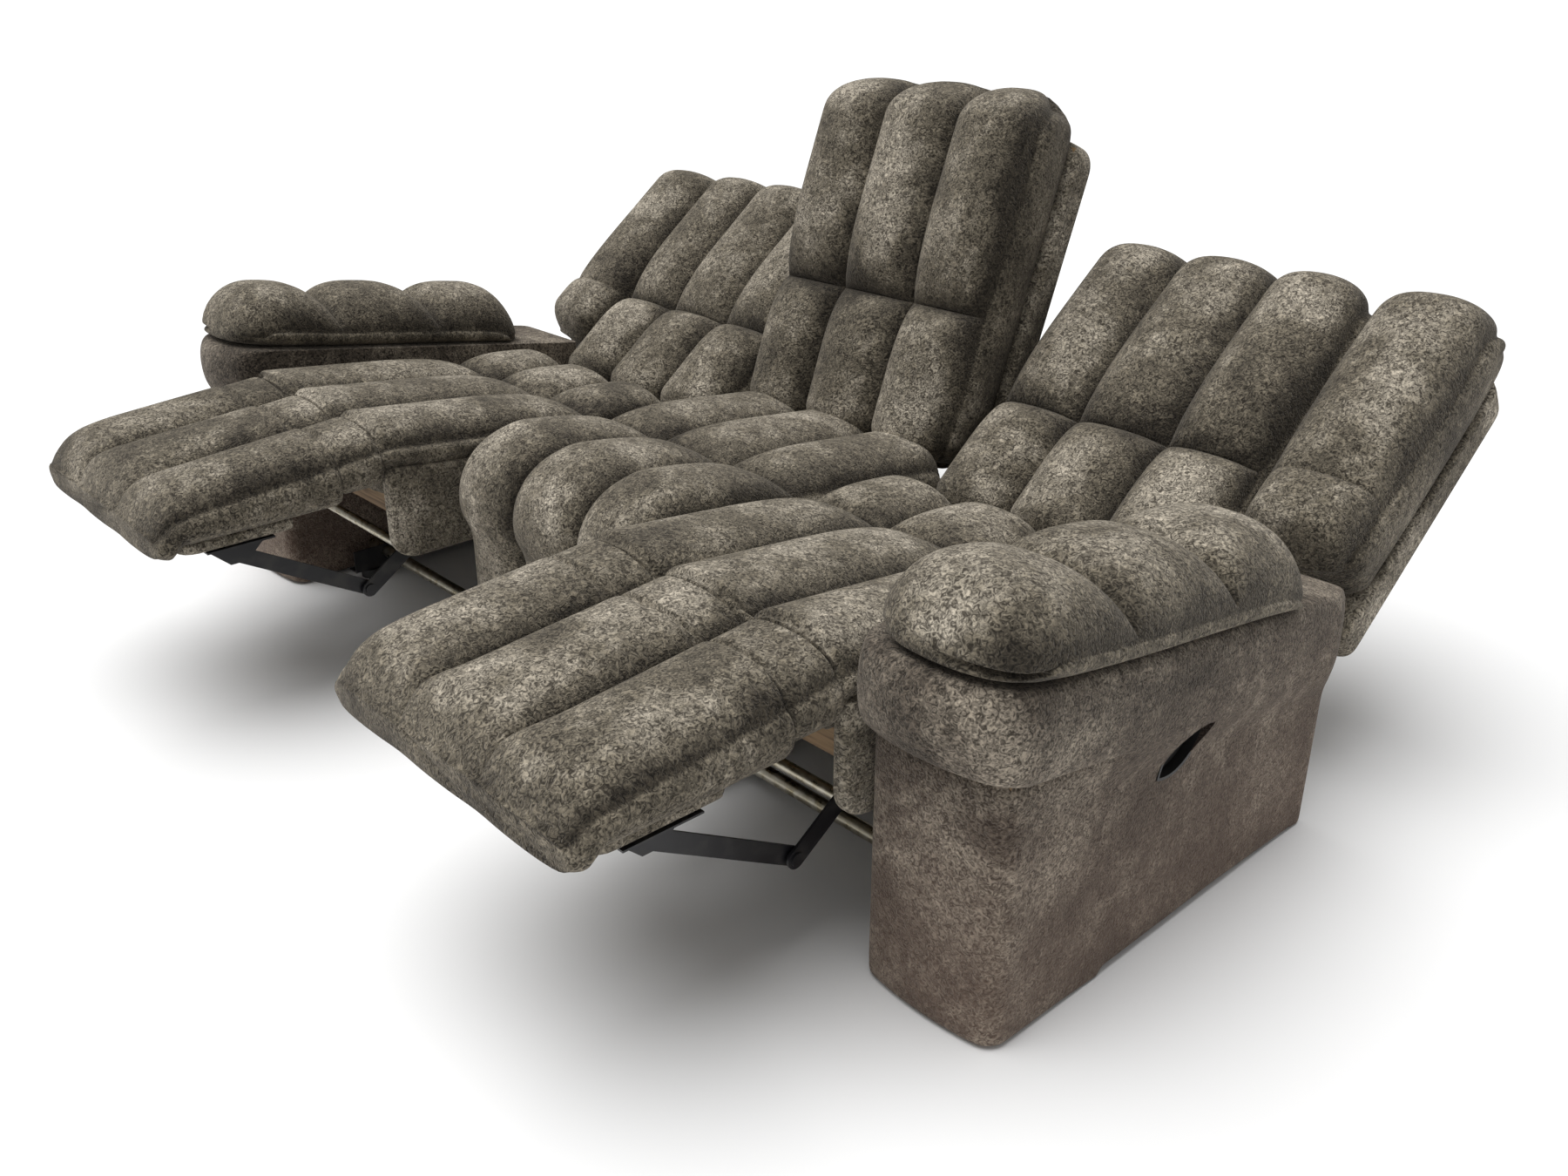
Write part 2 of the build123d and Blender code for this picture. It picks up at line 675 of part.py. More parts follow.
# Seat brackets: side plates under the seat rails, with the rivets of every link that hangs on them
rivet_gap = plate_gap / 2
seat_rivets = shoulder_rivet([front_lift_top, rear_lift_top, lower_pivot, back_pivot], bracket_inner,
                             lower_inner - rivet_gap, lower_inner - rivet_gap - rivet_head)
with BuildPart() as seat_brackets:
    with BuildSketch(side_plane(bay_mid + bracket_inner)):
        Polygon(at(bracket_front, bracket_top), at(bracket_front, lower_pivot_up - link_width),
                at(front_lift_back - link_width, bracket_bottom), at(rear_lift_back + link_width, bracket_bottom),
                at(back_pivot_back + bracket_ear, back_pivot_up - bracket_ear),
                at(back_pivot_back + bracket_ear, back_pivot_up + bracket_ear),
                at(back_pivot_back - bracket_ear, back_pivot_up + bracket_ear),
                at(back_pivot_back - bracket_ear, panel_bottom - plate),
                at(seat_frame_rear - link_width, panel_bottom - plate),
                at(seat_frame_rear - link_width, back_pivot_up),
                at(bracket_front + link_width, bracket_top - link_width / 2), align=None)
    extrude(amount=plate)
    add(seat_rivets)
    mirror(about=Plane.YZ.offset(bay_mid))
save_pair(seat_brackets.part, "seat_brackets")

# Lift links: two parallel links on each side carry the seat between its upright and reclined places
for name, foot, top in (("front_lift_links", front_lift_foot, front_lift_top),
                        ("rear_lift_links", rear_lift_foot, rear_lift_top)):
    bar = link_shape(side_plane(bay_mid + lower_inner), foot, top, link_width, pivot_radius + pivot_fit)
    with BuildPart() as lift_links:
        add(extrude(bar, amount=link_thick, mode=Mode.PRIVATE))
        mirror(about=Plane.YZ.offset(bay_mid))
    save_pair(lift_links.part, name)

# Lower links: from the seat brackets to the knee, with a spacer boss at the knee
lower_bar = link_shape(side_plane(bay_mid + lower_inner), lower_pivot, knee, link_width, 0)
with BuildPart() as lower_links:
    add(extrude(lower_bar, amount=link_thick, mode=Mode.PRIVATE))
    with BuildSketch(side_plane(bay_mid + lower_inner)):
        with Locations(knee):
            Circle(rivet_radius)
    extrude(amount=-plate_gap - plate - rivet_gap)
    with BuildSketch(side_plane(bay_mid + lower_inner + link_thick)):
        with Locations(knee):
            Circle(rivet_radius)
    extrude(amount=rivet_head)
    with BuildSketch(side_plane(bay_mid + lower_inner)):
        with Locations(lower_pivot):
            Circle(pivot_radius + pivot_fit)
    extrude(amount=link_thick, mode=Mode.SUBTRACT)
    mirror(about=Plane.YZ.offset(bay_mid))
save_pair(lower_links.part, "lower_links")

# Stretcher tube between the two lower links
with BuildPart() as stretcher_tube:
    with BuildSketch(side_plane(bay_mid - lower_inner)):
        with Locations(stretcher):
            Circle(stretcher_radius)
    extrude(amount=2 * lower_inner)
save_pair(stretcher_tube.part, "stretcher_tube")

# Upper links: from the knee to the footrest brackets
upper_bar = link_shape(side_plane(bay_mid + upper_inner), knee, upper_pivot, link_width - 2, 0)
with BuildPart() as upper_links:
    add(extrude(upper_bar, amount=link_thick, mode=Mode.PRIVATE))
    with BuildSketch(side_plane(bay_mid + upper_inner)):
        with Locations(knee):
            Circle(rivet_radius)
    extrude(amount=-rivet_head)
    with BuildSketch(side_plane(bay_mid + upper_inner)):
        with Locations(upper_pivot):
            Circle(pivot_radius + pivot_fit)
    extrude(amount=link_thick, mode=Mode.SUBTRACT)
    mirror(about=Plane.YZ.offset(bay_mid))
save_pair(upper_links.part, "upper_links")

# Footrest brackets: angle plates under the board with the pivots of the upper links
foot_rivets = shoulder_rivet([upper_pivot], web_inner, upper_inner - rivet_gap, upper_inner - rivet_gap - rivet_head)
bracket_reach = 2 * link_width
with BuildPart() as footrest_brackets:
    with BuildSketch(side_plane(bay_mid + web_inner)):
        Polygon(at(upper_pivot_back - bracket_reach, board_bottom), at(upper_pivot_back - link_width / 2,
                upper_pivot_up - link_width / 2), at(upper_pivot_back + link_width / 2,
                upper_pivot_up - link_width / 2), at(upper_pivot_back + bracket_reach, board_bottom), align=None)
    extrude(amount=plate)
    with BuildSketch(side_plane(bay_mid + web_inner)):
        Polygon(at(upper_pivot_back - bracket_reach, board_bottom), at(upper_pivot_back + bracket_reach, board_bottom),
                at(upper_pivot_back + bracket_reach, board_bottom - plate),
                at(upper_pivot_back - bracket_reach, board_bottom - plate), align=None)
    extrude(amount=board_half - web_inner)
    add(foot_rivets)
    mirror(about=Plane.YZ.offset(bay_mid))
save_pair(footrest_brackets.part, "footrest_brackets")

# Base rails: steel angles on the floor feet, with ears for the lift links
base_rivets = shoulder_rivet([front_lift_foot, rear_lift_foot], web_inner + plate,
                             lower_inner + link_thick + rivet_gap, lower_inner + link_thick + rivet_gap + rivet_head)
with BuildPart() as base_rails:
    with BuildSketch(side_plane(bay_mid + web_inner)):
        Polygon(at(rail_front, floor_gap), at(rail_rear, floor_gap), at(rail_rear, rail_web_top),
                at(rear_lift_back + lift_lean + 2 * rail_ear, rail_web_top),
                at(rear_lift_back + lift_lean + rail_ear / 2, lift_foot_up + rail_ear),
                at(rear_lift_back + lift_lean - rail_ear / 2, lift_foot_up + rail_ear),
                at(rear_lift_back + lift_lean - 2 * rail_ear, rail_web_top),
                at(front_lift_back + lift_lean + 2 * rail_ear, rail_web_top),
                at(front_lift_back + lift_lean + rail_ear / 2, lift_foot_up + rail_ear),
                at(front_lift_back + lift_lean - rail_ear / 2, lift_foot_up + rail_ear),
                at(front_lift_back + lift_lean - 2 * rail_ear, rail_web_top), at(rail_front, rail_web_top), align=None)
        with Locations(*tie_places):
            Circle(tie_radius + part_gap / 2, mode=Mode.SUBTRACT)
    extrude(amount=plate)
    with BuildSketch(side_plane(bay_mid + web_inner)):
        Polygon(at(rail_front, floor_gap), at(rail_rear, floor_gap), at(rail_rear, floor_gap + plate),
                at(rail_front, floor_gap + plate), align=None)
    extrude(amount=rail_flange)
    add(base_rivets)
    mirror(about=Plane.YZ.offset(bay_mid))
save_pair(base_rails.part, "base_rails")

# Tie tubes: round tubes across each bay from the centre frame to the arm
with BuildPart() as tie_tubes:
    with BuildSketch(side_plane(centre_half)):
        with Locations(*tie_places):
            Circle(tie_radius)
            Circle(tie_radius - tie_wall, mode=Mode.SUBTRACT)
    extrude(amount=arm_inner - centre_half)
save_pair(tie_tubes.part, "tie_tubes")

# Centre seat: fixed box on the floor feet, with springs
nose_back = centre_frame_front + centre_nose
with BuildPart() as centre_seat_frame:
    with BuildSketch(side_plane(-centre_half)):
        Polygon(at(centre_frame_front, floor_gap), at(centre_frame_rear, floor_gap),
                at(centre_frame_rear, deck(centre_frame_rear) - spring_wire),
                at(nose_back, deck(nose_back) - spring_wire),
                at(centre_frame_front, deck(nose_back) - centre_nose - spring_wire), align=None)
    extrude(amount=centre_width)
    with BuildSketch(side_plane(-centre_half + rail_thick)):
        Polygon(at(centre_frame_front + rail_thick, floor_gap), at(centre_frame_rear - rail_thick, floor_gap),
                at(centre_frame_rear - rail_thick, deck_front), at(centre_frame_front + rail_thick, deck_front),
                align=None)
    extrude(amount=centre_width - 2 * rail_thick, mode=Mode.SUBTRACT)
save(centre_seat_frame.part, "centre_seat_frame")
save(spring_deck(0, nose_back, centre_frame_rear), "centre_seat_springs")

# Centre seat cushion: two rows of channels, rolled over the front edge into an apron
centre_seams = even_seams(0, centre_half - back_side_gap, channel_count)
centre_inset = cushion_edge + 4
apron_lip = 8
centre_sections = seat_rows(centre_seams, nose_back, centre_cushion_rear, centre_inset, nose_rise)
nose_centre = at(nose_back, deck(nose_back) + part_gap - centre_nose)
nose_height = seat_cushion_height * (1 - seat_sink * (1 - nose_rise))
nose_sections = []
for turn in (0, 30, 60, 90):
    share = turn / 90
    a = radians(turn)
    plane = Plane(origin=(0, nose_centre[0] - (centre_nose + part_gap * share) * sin(a),
                          nose_centre[1] + centre_nose * cos(a)),
                  x_dir=(1, 0, 0), z_dir=(0, -cos(a), -sin(a)))
    height = nose_height * (1 - share) + centre_apron_thick * share
    lip = min(seat_lip * (1 - share) + apron_lip * share, height - cushion_edge)
    nose_sections.append(channel_section(plane, centre_seams, centre_inset, lip, height, seat_crown * nose_rise))
apron_sections = []
for up, rise in ((nose_centre[1], nose_rise), ((nose_centre[1] + centre_apron_bottom) / 2, 1),
                 (centre_apron_bottom, fold_rise)):
    plane = Plane(origin=(0, nose_centre[0] - centre_nose - part_gap, up), x_dir=(1, 0, 0), z_dir=(0, 0, -1))
    apron_sections.append(channel_section(plane, centre_seams, centre_inset, apron_lip, centre_apron_thick,
                                          seat_crown * rise))
with BuildPart() as centre_seat_cushion:
    for row in [nose_sections, apron_sections] + centre_sections:
        loft(sections=row)
save(centre_seat_cushion.part, "centre_seat_cushion")

# Centre back: the same cushion, frame and outer panel set upright, three channels wide
centre_edge = centre_half - back_side_gap
centre_stile_mid = centre_edge - centre_stile_inset
centre_bracket_inner = centre_stile_mid - back_stile / 2 - link_thick
centre_back_rows = back_rows(centre_foot, centre_along, centre_seams, centre_seams)
with BuildPart() as centre_back_cushion:
    for row in centre_back_rows:
        loft(sections=row)
save(centre_back_cushion.part, "centre_back_cushion")

with BuildPart() as centre_back_panel:
    add(extrude(back_panel_shape(back_face(centre_foot, centre_along, 0), -centre_edge, centre_edge, 0),
                amount=back_panel_thick, mode=Mode.PRIVATE))
save(centre_back_panel.part, "centre_back_panel")

with BuildPart() as centre_back_frame:
    add(extrude(ladder(back_face(centre_foot, centre_along, back_panel_thick), 0, centre_stile_mid, -centre_edge,
                       centre_edge, 0), amount=back_frame_thick, mode=Mode.PRIVATE))
save(centre_back_frame.part, "centre_back_frame")

# Centre back brackets: flanged plates from the rear of the centre box to the legs of the centre back
bracket_low = floor_gap + centre_bracket_up
with BuildPart() as centre_back_brackets:
    with BuildSketch(side_plane(centre_bracket_inner)):
        Polygon(at(centre_frame_rear, bracket_low), at(centre_frame_rear, bracket_low + 2 * link_width),
                leg_point(centre_foot, centre_along, centre_leg_shares[1]), leg_point(centre_foot, centre_along,
                                                                              centre_leg_shares[0]), align=None)
    extrude(amount=link_thick)
    with BuildSketch(side_plane(centre_bracket_inner)):
        Polygon(at(centre_frame_rear, bracket_low), at(centre_frame_rear, bracket_low + 2 * link_width),
                at(centre_frame_rear + plate, bracket_low + 2 * link_width),
                at(centre_frame_rear + plate, bracket_low), align=None)
    extrude(amount=-link_width)
    mirror(about=Plane.YZ)
save(centre_back_brackets.part, "centre_back_brackets")

# Bolts that hold the arms to the tie tubes
with BuildPart() as arm_bolts:
    with BuildSketch(side_plane(arm_inner - bolt_reach)):
        with Locations(*tie_places):
            Circle(bolt_radius)
    extrude(amount=bolt_reach + arm_skin + arm_board)
    with BuildSketch(side_plane(arm_inner + arm_skin + arm_board)):
        with Locations(*tie_places):
            RegularPolygon(bolt_head_radius, 6)
    extrude(amount=bolt_head)
    mirror(about=Plane.YZ)
save(arm_bolts.part, "arm_bolts")

# Floor feet under the arms, the base rails and the centre box
foot_places = []
for x in (arm_inner + foot_inset, arm_outer - foot_inset):
    foot_places += [(x, arm_front + foot_inset), (x, arm_front + arm_depth - foot_inset)]
for x in (bay_mid - web_inner - plate - foot_radius / 2, bay_mid + web_inner + plate + foot_radius / 2):
    foot_places += [(x, arm_front + rail_front + foot_inset), (x, arm_front + rail_rear - foot_inset)]
foot_places += [(centre_half - foot_radius, arm_front + centre_frame_front + foot_inset),
                (centre_half - foot_radius, arm_front + centre_frame_rear - foot_inset)]
with BuildPart() as feet:
    with BuildSketch():
        with Locations(*foot_places):
            Circle(foot_radius)
    extrude(amount=floor_gap)
    mirror(about=Plane.YZ)
save(feet.part, "feet")
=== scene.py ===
"""Looks of a three-seat reclining sofa in crushed plush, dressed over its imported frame.

Lengths are metres in the frame's own axes: +Z up, the front towards -Y, the sofa's width along X. Side
view places are measured back from the arm fronts, as the sofa's maker would, and moved into the frame by
ARM_FRONT.
"""

import json
import logging
import math
from dataclasses import dataclass
from enum import Enum
from typing import Callable, Optional, Sequence

import bmesh
import bpy
import numpy as np
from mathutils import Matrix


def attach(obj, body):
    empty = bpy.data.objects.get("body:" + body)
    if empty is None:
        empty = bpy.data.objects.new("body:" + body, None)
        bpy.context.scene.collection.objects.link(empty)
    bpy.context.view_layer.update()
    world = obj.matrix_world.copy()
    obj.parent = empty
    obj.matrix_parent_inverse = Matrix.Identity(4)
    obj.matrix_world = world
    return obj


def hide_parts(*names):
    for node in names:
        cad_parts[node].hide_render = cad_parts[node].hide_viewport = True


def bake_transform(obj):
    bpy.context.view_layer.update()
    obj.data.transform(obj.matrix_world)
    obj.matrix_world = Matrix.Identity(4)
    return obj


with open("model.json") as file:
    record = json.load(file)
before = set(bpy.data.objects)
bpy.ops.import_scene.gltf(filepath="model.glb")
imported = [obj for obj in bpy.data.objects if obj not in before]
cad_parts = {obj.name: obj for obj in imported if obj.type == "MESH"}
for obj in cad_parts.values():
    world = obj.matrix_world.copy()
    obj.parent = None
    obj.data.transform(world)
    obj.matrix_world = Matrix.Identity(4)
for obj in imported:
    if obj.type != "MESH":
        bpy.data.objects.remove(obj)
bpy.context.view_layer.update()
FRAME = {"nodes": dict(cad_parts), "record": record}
LOG = logging.getLogger("sofa")

# A curve gives a value at each place. A line gives places in side view and the outward directions there.
Curve = Callable[[np.ndarray], np.ndarray]
Line = Callable[[np.ndarray], tuple[np.ndarray, np.ndarray]]
Paint = tuple[bpy.types.Material, bpy.types.NodeTree, bpy.types.Node, bpy.types.NodeSocket]

# Layout that several sub-assemblies share
ARM_FRONT = -0.454
ARM_INNER = 0.872
ARM_OUTER = 1.100
CENTRE_HALF = 0.295
SEAT_CLEAR = 0.005
BAY_MID = (CENTRE_HALF + ARM_INNER) / 2
SEAT_HALF = (ARM_INNER - CENTRE_HALF) / 2 - SEAT_CLEAR
CHANNELS = 3
SEAT_SEAM = 0.425
DECK_FRONT = 0.367
DECK_SLOPE = 0.105
DECK_CLEAR = 0.001
BACK_GAP = 0.003
BACK_CLEAR = 0.009
BACK_CROWN = 0.058
BACK_PUFF = 0.022

# How far the sewing and the filling still hold a cover's loose parts, 0 to 1
LOOSE = 0.2
LOOSE_BACK = 0.15

# How a channelled cushion ends: the power of its rounded nose, and the share of its height that a nose keeps
NOSE_POWER = 2.3
NOSE_FLAT = 0.15
FOLD_FLAT = 0.9
NOSE_NARROWING = 0.05
LOBE_REACH = 2.5
CORNER_POWER = 4

# How full its section is
PILLOW_POWER = 2.6
ROW_POWER = 3.0
MERGED_POWER = 8.0
MERGED_CROWN = 0.8
FREE_SWELL = 0.35
SIDE_POWER = 0.8
LIP_SHARE = 0.75
# Painted shade on a pad's sides and underside, on the scale from 0 dark in a seam to 1 lit on a crown
SIDE_SHADING = 0.6
FOOT_SHADING = 0.3

# How finely it is drawn
SEAM_STEP = 0.003
FOOT_STEP = 0.03
ROUND_POINTS = 9
WELD = 2e-5

# Millimetres in a metre, for the patterns' scales
MM = 1000


class Side(Enum):
    """The two mirrored halves of the sofa, with the sign of their X."""

    RIGHT = 1
    LEFT = -1

    @property
    def tag(self) -> str:
        """Ending of this side's node and body names."""
        return self.name.lower()


def deck(back: np.ndarray) -> np.ndarray:
    """Height of the spring deck at a distance behind the arm fronts: a straight line falling to the rear."""
    return DECK_FRONT - DECK_SLOPE * back


def eased(share: np.ndarray) -> np.ndarray:
    """A share held to 0 to 1 and eased at both ends: s x s x (3 - 2s)."""
    held = np.clip(share, 0, 1)
    return held * held * (3 - 2 * held)


def puff(share: np.ndarray, power: float = PILLOW_POWER) -> np.ndarray:
    """Pillow profile over -1 to 1, root of 1 - |s| to a power: one in the middle, falling steeply to 0."""
    return np.clip(1 - np.abs(share) ** power, 0, 1) ** 0.5


def spaced(start: float, end: float, step: float) -> np.ndarray:
    """Even places from start to end, about a step apart and at least four."""
    return np.linspace(start, end, max(int(abs(end - start) / step), 4) + 1)


def even(middle: float, half: float, count: int) -> list[float]:
    """Seam places of equal channels about a middle line."""
    return list(np.linspace(middle - half, middle + half, count + 1))


def linear(hex_colour: str) -> tuple[float, float, float, float]:
    """Turns an sRGB hex colour into linear values.

    Args:
        hex_colour: six hex digits, such as "8a8070".

    Returns:
        Linear red, green, blue and an alpha of 1.
    """
    values = [int(hex_colour[i:i + 2], 16) / 255 for i in (0, 2, 4)]
    out = [v / 12.92 if v <= 0.04045 else ((v + 0.055) / 1.055) ** 2.4 for v in values]
    return (out[0], out[1], out[2], 1.0)


def grey(level: float) -> tuple[float, float, float, float]:
    """A grey that carries a plain value, such as a roughness, through a colour ramp."""
    return (level, level, level, 1.0)


def set_node(tree: bpy.types.NodeTree, node: bpy.types.Node, settings: dict, links: dict) -> None:
    """Sets a shader node's properties and inputs.

    Args:
        tree: the material's node tree.
        node: the node.
        settings: properties by name, input values by socket name or index, or a colour ramp's stops.
        links: input socket name or index to the output socket that feeds it.
    """
    for key, value in settings.items():
        if key == "stops":
            elements = node.color_ramp.elements
            while len(elements) < len(value):
                elements.new(0.5)
            for element, (place, colour) in zip(elements, value):
                element.position = place
                element.color = colour
        elif isinstance(key, str) and hasattr(node, key):
            setattr(node, key, value)
        else:
            node.inputs[key].default_value = value
    for key, socket in links.items():
        tree.links.new(socket, node.inputs[key])


def add_node(tree: bpy.types.NodeTree, kind: str, settings: dict, links: dict) -> bpy.types.Node:
    """Adds one shader node.

    Args:
        tree: the material's node tree.
        kind: the node's type name.
        settings: properties, input values or stops, as set_node takes them.
        links: input socket name or index to the output socket that feeds it.

    Returns:
        The new node.
    """
    node = tree.nodes.new(kind)
    set_node(tree, node, settings, links)
    return node


def new_material(name: str) -> Paint:
    """A material with an empty Principled shader.

    Args:
        name: the material's name.

    Returns:
        The material, its node tree, its Principled node and the socket of its Object coordinates.
    """
    material = bpy.data.materials.new(name)
    material.use_nodes = True
    tree = material.node_tree
    place = add_node(tree, "ShaderNodeTexCoord", {}, {}).outputs["Object"]
    return material, tree, tree.nodes["Principled BSDF"], place


@dataclass(frozen=True)
class CrushedPlush:
    """Polyester chenille plush, woven with a short looped pile and crushed after dyeing.

    The crushing lays the pile over in patches, so the eye sees cloudy light and dark areas a hand wide,
    smaller blotches inside them, and tufts a few millimetres across, with painted shade in their gaps and a
    painted highlight on their tips. The tufts are drawn wider than single loops of the pile, which are too
    fine to show in the render. Painted shade darkens the seams, the sides and the undersides, and painted
    light brightens the crowns. A warmth above 0 lets the cloth turn browner towards the floor, between two
    heights in metres.
    """

    name: str = "crushed_chenille_plush"
    light: str = "a0988a"
    middle: str = "6a6356"
    dark: str = "38332b"
    warm: str = "84695c"
    sheen: str = "d8cfc2"
    cloud_mm: float = 150.0
    blotch_mm: float = 34.0
    tuft_mm: float = 7.0
    tuft_relief_mm: float = 5.0
    blotch_share: float = 0.22
    seam_shade: float = -0.18
    crown_shade: float = 0.04
    warmth: float = 0.0
    warm_heights: tuple[float, float] = (0.46, 0.05)

    def build(self) -> bpy.types.Material:
        """Builds the plush: clouds, blotches and tufts on Object coordinates, with painted shade in the
        seams, on the sides and underneath, and painted light on the crowns.

        Returns:
            The finished material.
        """
        material, tree, shader, place = new_material(self.name)
        patterns = ((self.cloud_mm, 5.0, 0.62, 0.35), (self.blotch_mm, 3.0, 0.7, 1.2),
                    (self.tuft_mm, 2.0, 0.55, 1.6))
        cloud, blotch, tuft = [
            add_node(tree, "ShaderNodeTexNoise",
                     {"Scale": MM / wide, "Detail": detail, "Roughness": rough, "Distortion": twist},
                     {"Vector": place}).outputs["Fac"]
            for wide, detail, rough, twist in patterns]
        both = add_node(tree, "ShaderNodeMix", {"data_type": "FLOAT", "Factor": self.blotch_share},
                        {2: cloud, 3: blotch})
        # Painted shade and light from the mesh: darker in the seams, on the sides and underneath, lighter on
        # the crowns
        shade_level = add_node(tree, "ShaderNodeAttribute", {"attribute_name": "nap"}, {})
        shade_lift = add_node(tree, "ShaderNodeMapRange",
                        {"From Min": 0.1, "From Max": 0.85,
                         "To Min": self.seam_shade, "To Max": self.crown_shade},
                        {"Value": shade_level.outputs["Fac"]})
        pile_and_shade = add_node(tree, "ShaderNodeMath", {"operation": "ADD"},
                        {0: both.outputs[0], 1: shade_lift.outputs[0]})
        # The pile's own colours, with that painted shade and light added in
        piles = ((0.33, linear(self.dark)), (0.5, linear(self.middle)), (0.66, linear(self.light)))
        nap = add_node(tree, "ShaderNodeValToRGB", {"stops": piles}, {"Fac": pile_and_shade.outputs[0]})
        # Painted shade in the gaps between the tufts and a painted highlight on their tips
        shades = ((0.36, (0.22, 0.21, 0.2, 1)), (0.5, grey(0.86)), (0.66, (1.75, 1.74, 1.72, 1)))
        shade = add_node(tree, "ShaderNodeValToRGB", {"stops": shades}, {"Fac": tuft})
        base = add_node(tree, "ShaderNodeMix", {"data_type": "RGBA", "blend_type": "MULTIPLY", "Factor": 1.0},
                        {6: nap.outputs["Color"], 7: shade.outputs["Color"]}).outputs[2]
        if self.warmth:
            axes = add_node(tree, "ShaderNodeSeparateXYZ", {}, {0: place})
            high, low = self.warm_heights
            near_floor = add_node(tree, "ShaderNodeMapRange",
                                  {"From Min": high, "From Max": low, "To Min": 0.0, "To Max": self.warmth},
                                  {"Value": axes.outputs["Z"]})
            base = add_node(tree, "ShaderNodeMix",
                            {"data_type": "RGBA", "blend_type": "MIX", 7: linear(self.warm)},
                            {0: near_floor.outputs[0], 6: base}).outputs[2]
        relief = add_node(tree, "ShaderNodeBump", {"Strength": 1.0, "Distance": self.tuft_relief_mm / MM},
                          {"Height": tuft})
        set_node(tree, shader,
                 {"Roughness": 0.92, "IOR": 1.5, "Specular IOR Level": 0.2, "Sheen Weight": 0.3,
                  "Sheen Roughness": 0.45, "Sheen Tint": linear(self.sheen)},
                 {"Base Color": base, "Normal": relief.outputs["Normal"]})
        return material


@dataclass(frozen=True)
class PaintedSteel:
    """Mild steel plate, stamped and dip painted: thin satin paint with faint orange peel and rubbed dust."""

    name: str = "black_dip_painted_steel"
    colour: str = "17171a"
    dust: str = "3a3835"
    peel_mm: float = 2.5
    peel_relief_mm: float = 0.4
    dust_mm: float = 40.0

    def build(self) -> bpy.types.Material:
        """Builds the paint, duller where dust lies on it.

        Returns:
            The finished material.
        """
        material, tree, shader, place = new_material(self.name)
        film = add_node(tree, "ShaderNodeTexNoise", {"Scale": MM / self.dust_mm, "Detail": 6.0},
                        {"Vector": place})
        peel = add_node(tree, "ShaderNodeTexNoise", {"Scale": MM / self.peel_mm, "Detail": 1.0},
                        {"Vector": place})
        colour = add_node(tree, "ShaderNodeValToRGB",
                          {"stops": ((0.5, linear(self.colour)), (0.8, linear(self.dust)))},
                          {"Fac": film.outputs["Fac"]})
        rough = add_node(tree, "ShaderNodeValToRGB", {"stops": ((0.4, grey(0.34)), (0.75, grey(0.55)))},
                         {"Fac": film.outputs["Fac"]})
        relief = add_node(tree, "ShaderNodeBump", {"Strength": 0.12, "Distance": self.peel_relief_mm / MM},
                          {"Height": peel.outputs["Fac"]})
        set_node(tree, shader, {},
                 {"Base Color": colour.outputs["Color"], "Roughness": rough.outputs["Color"],
                  "Normal": relief.outputs["Normal"]})
        return material


@dataclass(frozen=True)
class ZincPlate:
    """Zinc plated steel tube and wire: bright metal, slightly yellow, clouded by handling."""

    name: str = "zinc_plated_steel"
    colour: str = "b9b4a6"
    tint: str = "948b74"
    cloud_mm: float = 18.0

    def build(self) -> bpy.types.Material:
        """Builds the plating, duller where it is yellow.

        Returns:
            The finished material.
        """
        material, tree, shader, place = new_material(self.name)
        cloud = add_node(tree, "ShaderNodeTexNoise", {"Scale": MM / self.cloud_mm, "Detail": 4.0},
                         {"Vector": place})
        colour = add_node(tree, "ShaderNodeValToRGB",
                          {"stops": ((0.35, linear(self.tint)), (0.62, linear(self.colour)))},
                          {"Fac": cloud.outputs["Fac"]})
        rough = add_node(tree, "ShaderNodeValToRGB", {"stops": ((0.3, grey(0.22)), (0.7, grey(0.42)))},
                         {"Fac": cloud.outputs["Fac"]})
        set_node(tree, shader, {"Metallic": 1.0},
                 {"Base Color": colour.outputs["Color"], "Roughness": rough.outputs["Color"]})
        return material


@dataclass(frozen=True)
class RawPlywood:
    """Unfinished plywood and sawn softwood: dull brown wood with long dark grain and a dry surface, darker
    than bare wood as painted shade under the seats.
    """

    name: str = "raw_plywood"
    # Both browns are darker than bare plywood: the wood's own grain plus painted shade on the frame under the
    # seats
    early: str = "866c4c"
    late: str = "523d27"
    grain_mm: float = 7.0
    grain_relief_mm: float = 0.6
    grain_stretch: float = 0.06

    def build(self) -> bpy.types.Material:
        """Builds the wood, its grain drawn out along X.

        Returns:
            The finished material.
        """
        material, tree, shader, place = new_material(self.name)
        drawn = add_node(tree, "ShaderNodeMapping", {"Scale": (self.grain_stretch, 1.0, 1.0)},
                         {"Vector": place})
        grain = add_node(tree, "ShaderNodeTexNoise",
                         {"Scale": MM / self.grain_mm, "Detail": 5.0, "Distortion": 0.4},
                         {"Vector": drawn.outputs["Vector"]})
        colour = add_node(tree, "ShaderNodeValToRGB",
                          {"stops": ((0.35, linear(self.late)), (0.6, linear(self.early)))},
                          {"Fac": grain.outputs["Fac"]})
        relief = add_node(tree, "ShaderNodeBump", {"Strength": 0.25, "Distance": self.grain_relief_mm / MM},
                          {"Height": grain.outputs["Fac"]})
        set_node(tree, shader, {"Roughness": 0.75},
                 {"Base Color": colour.outputs["Color"], "Normal": relief.outputs["Normal"]})
        return material


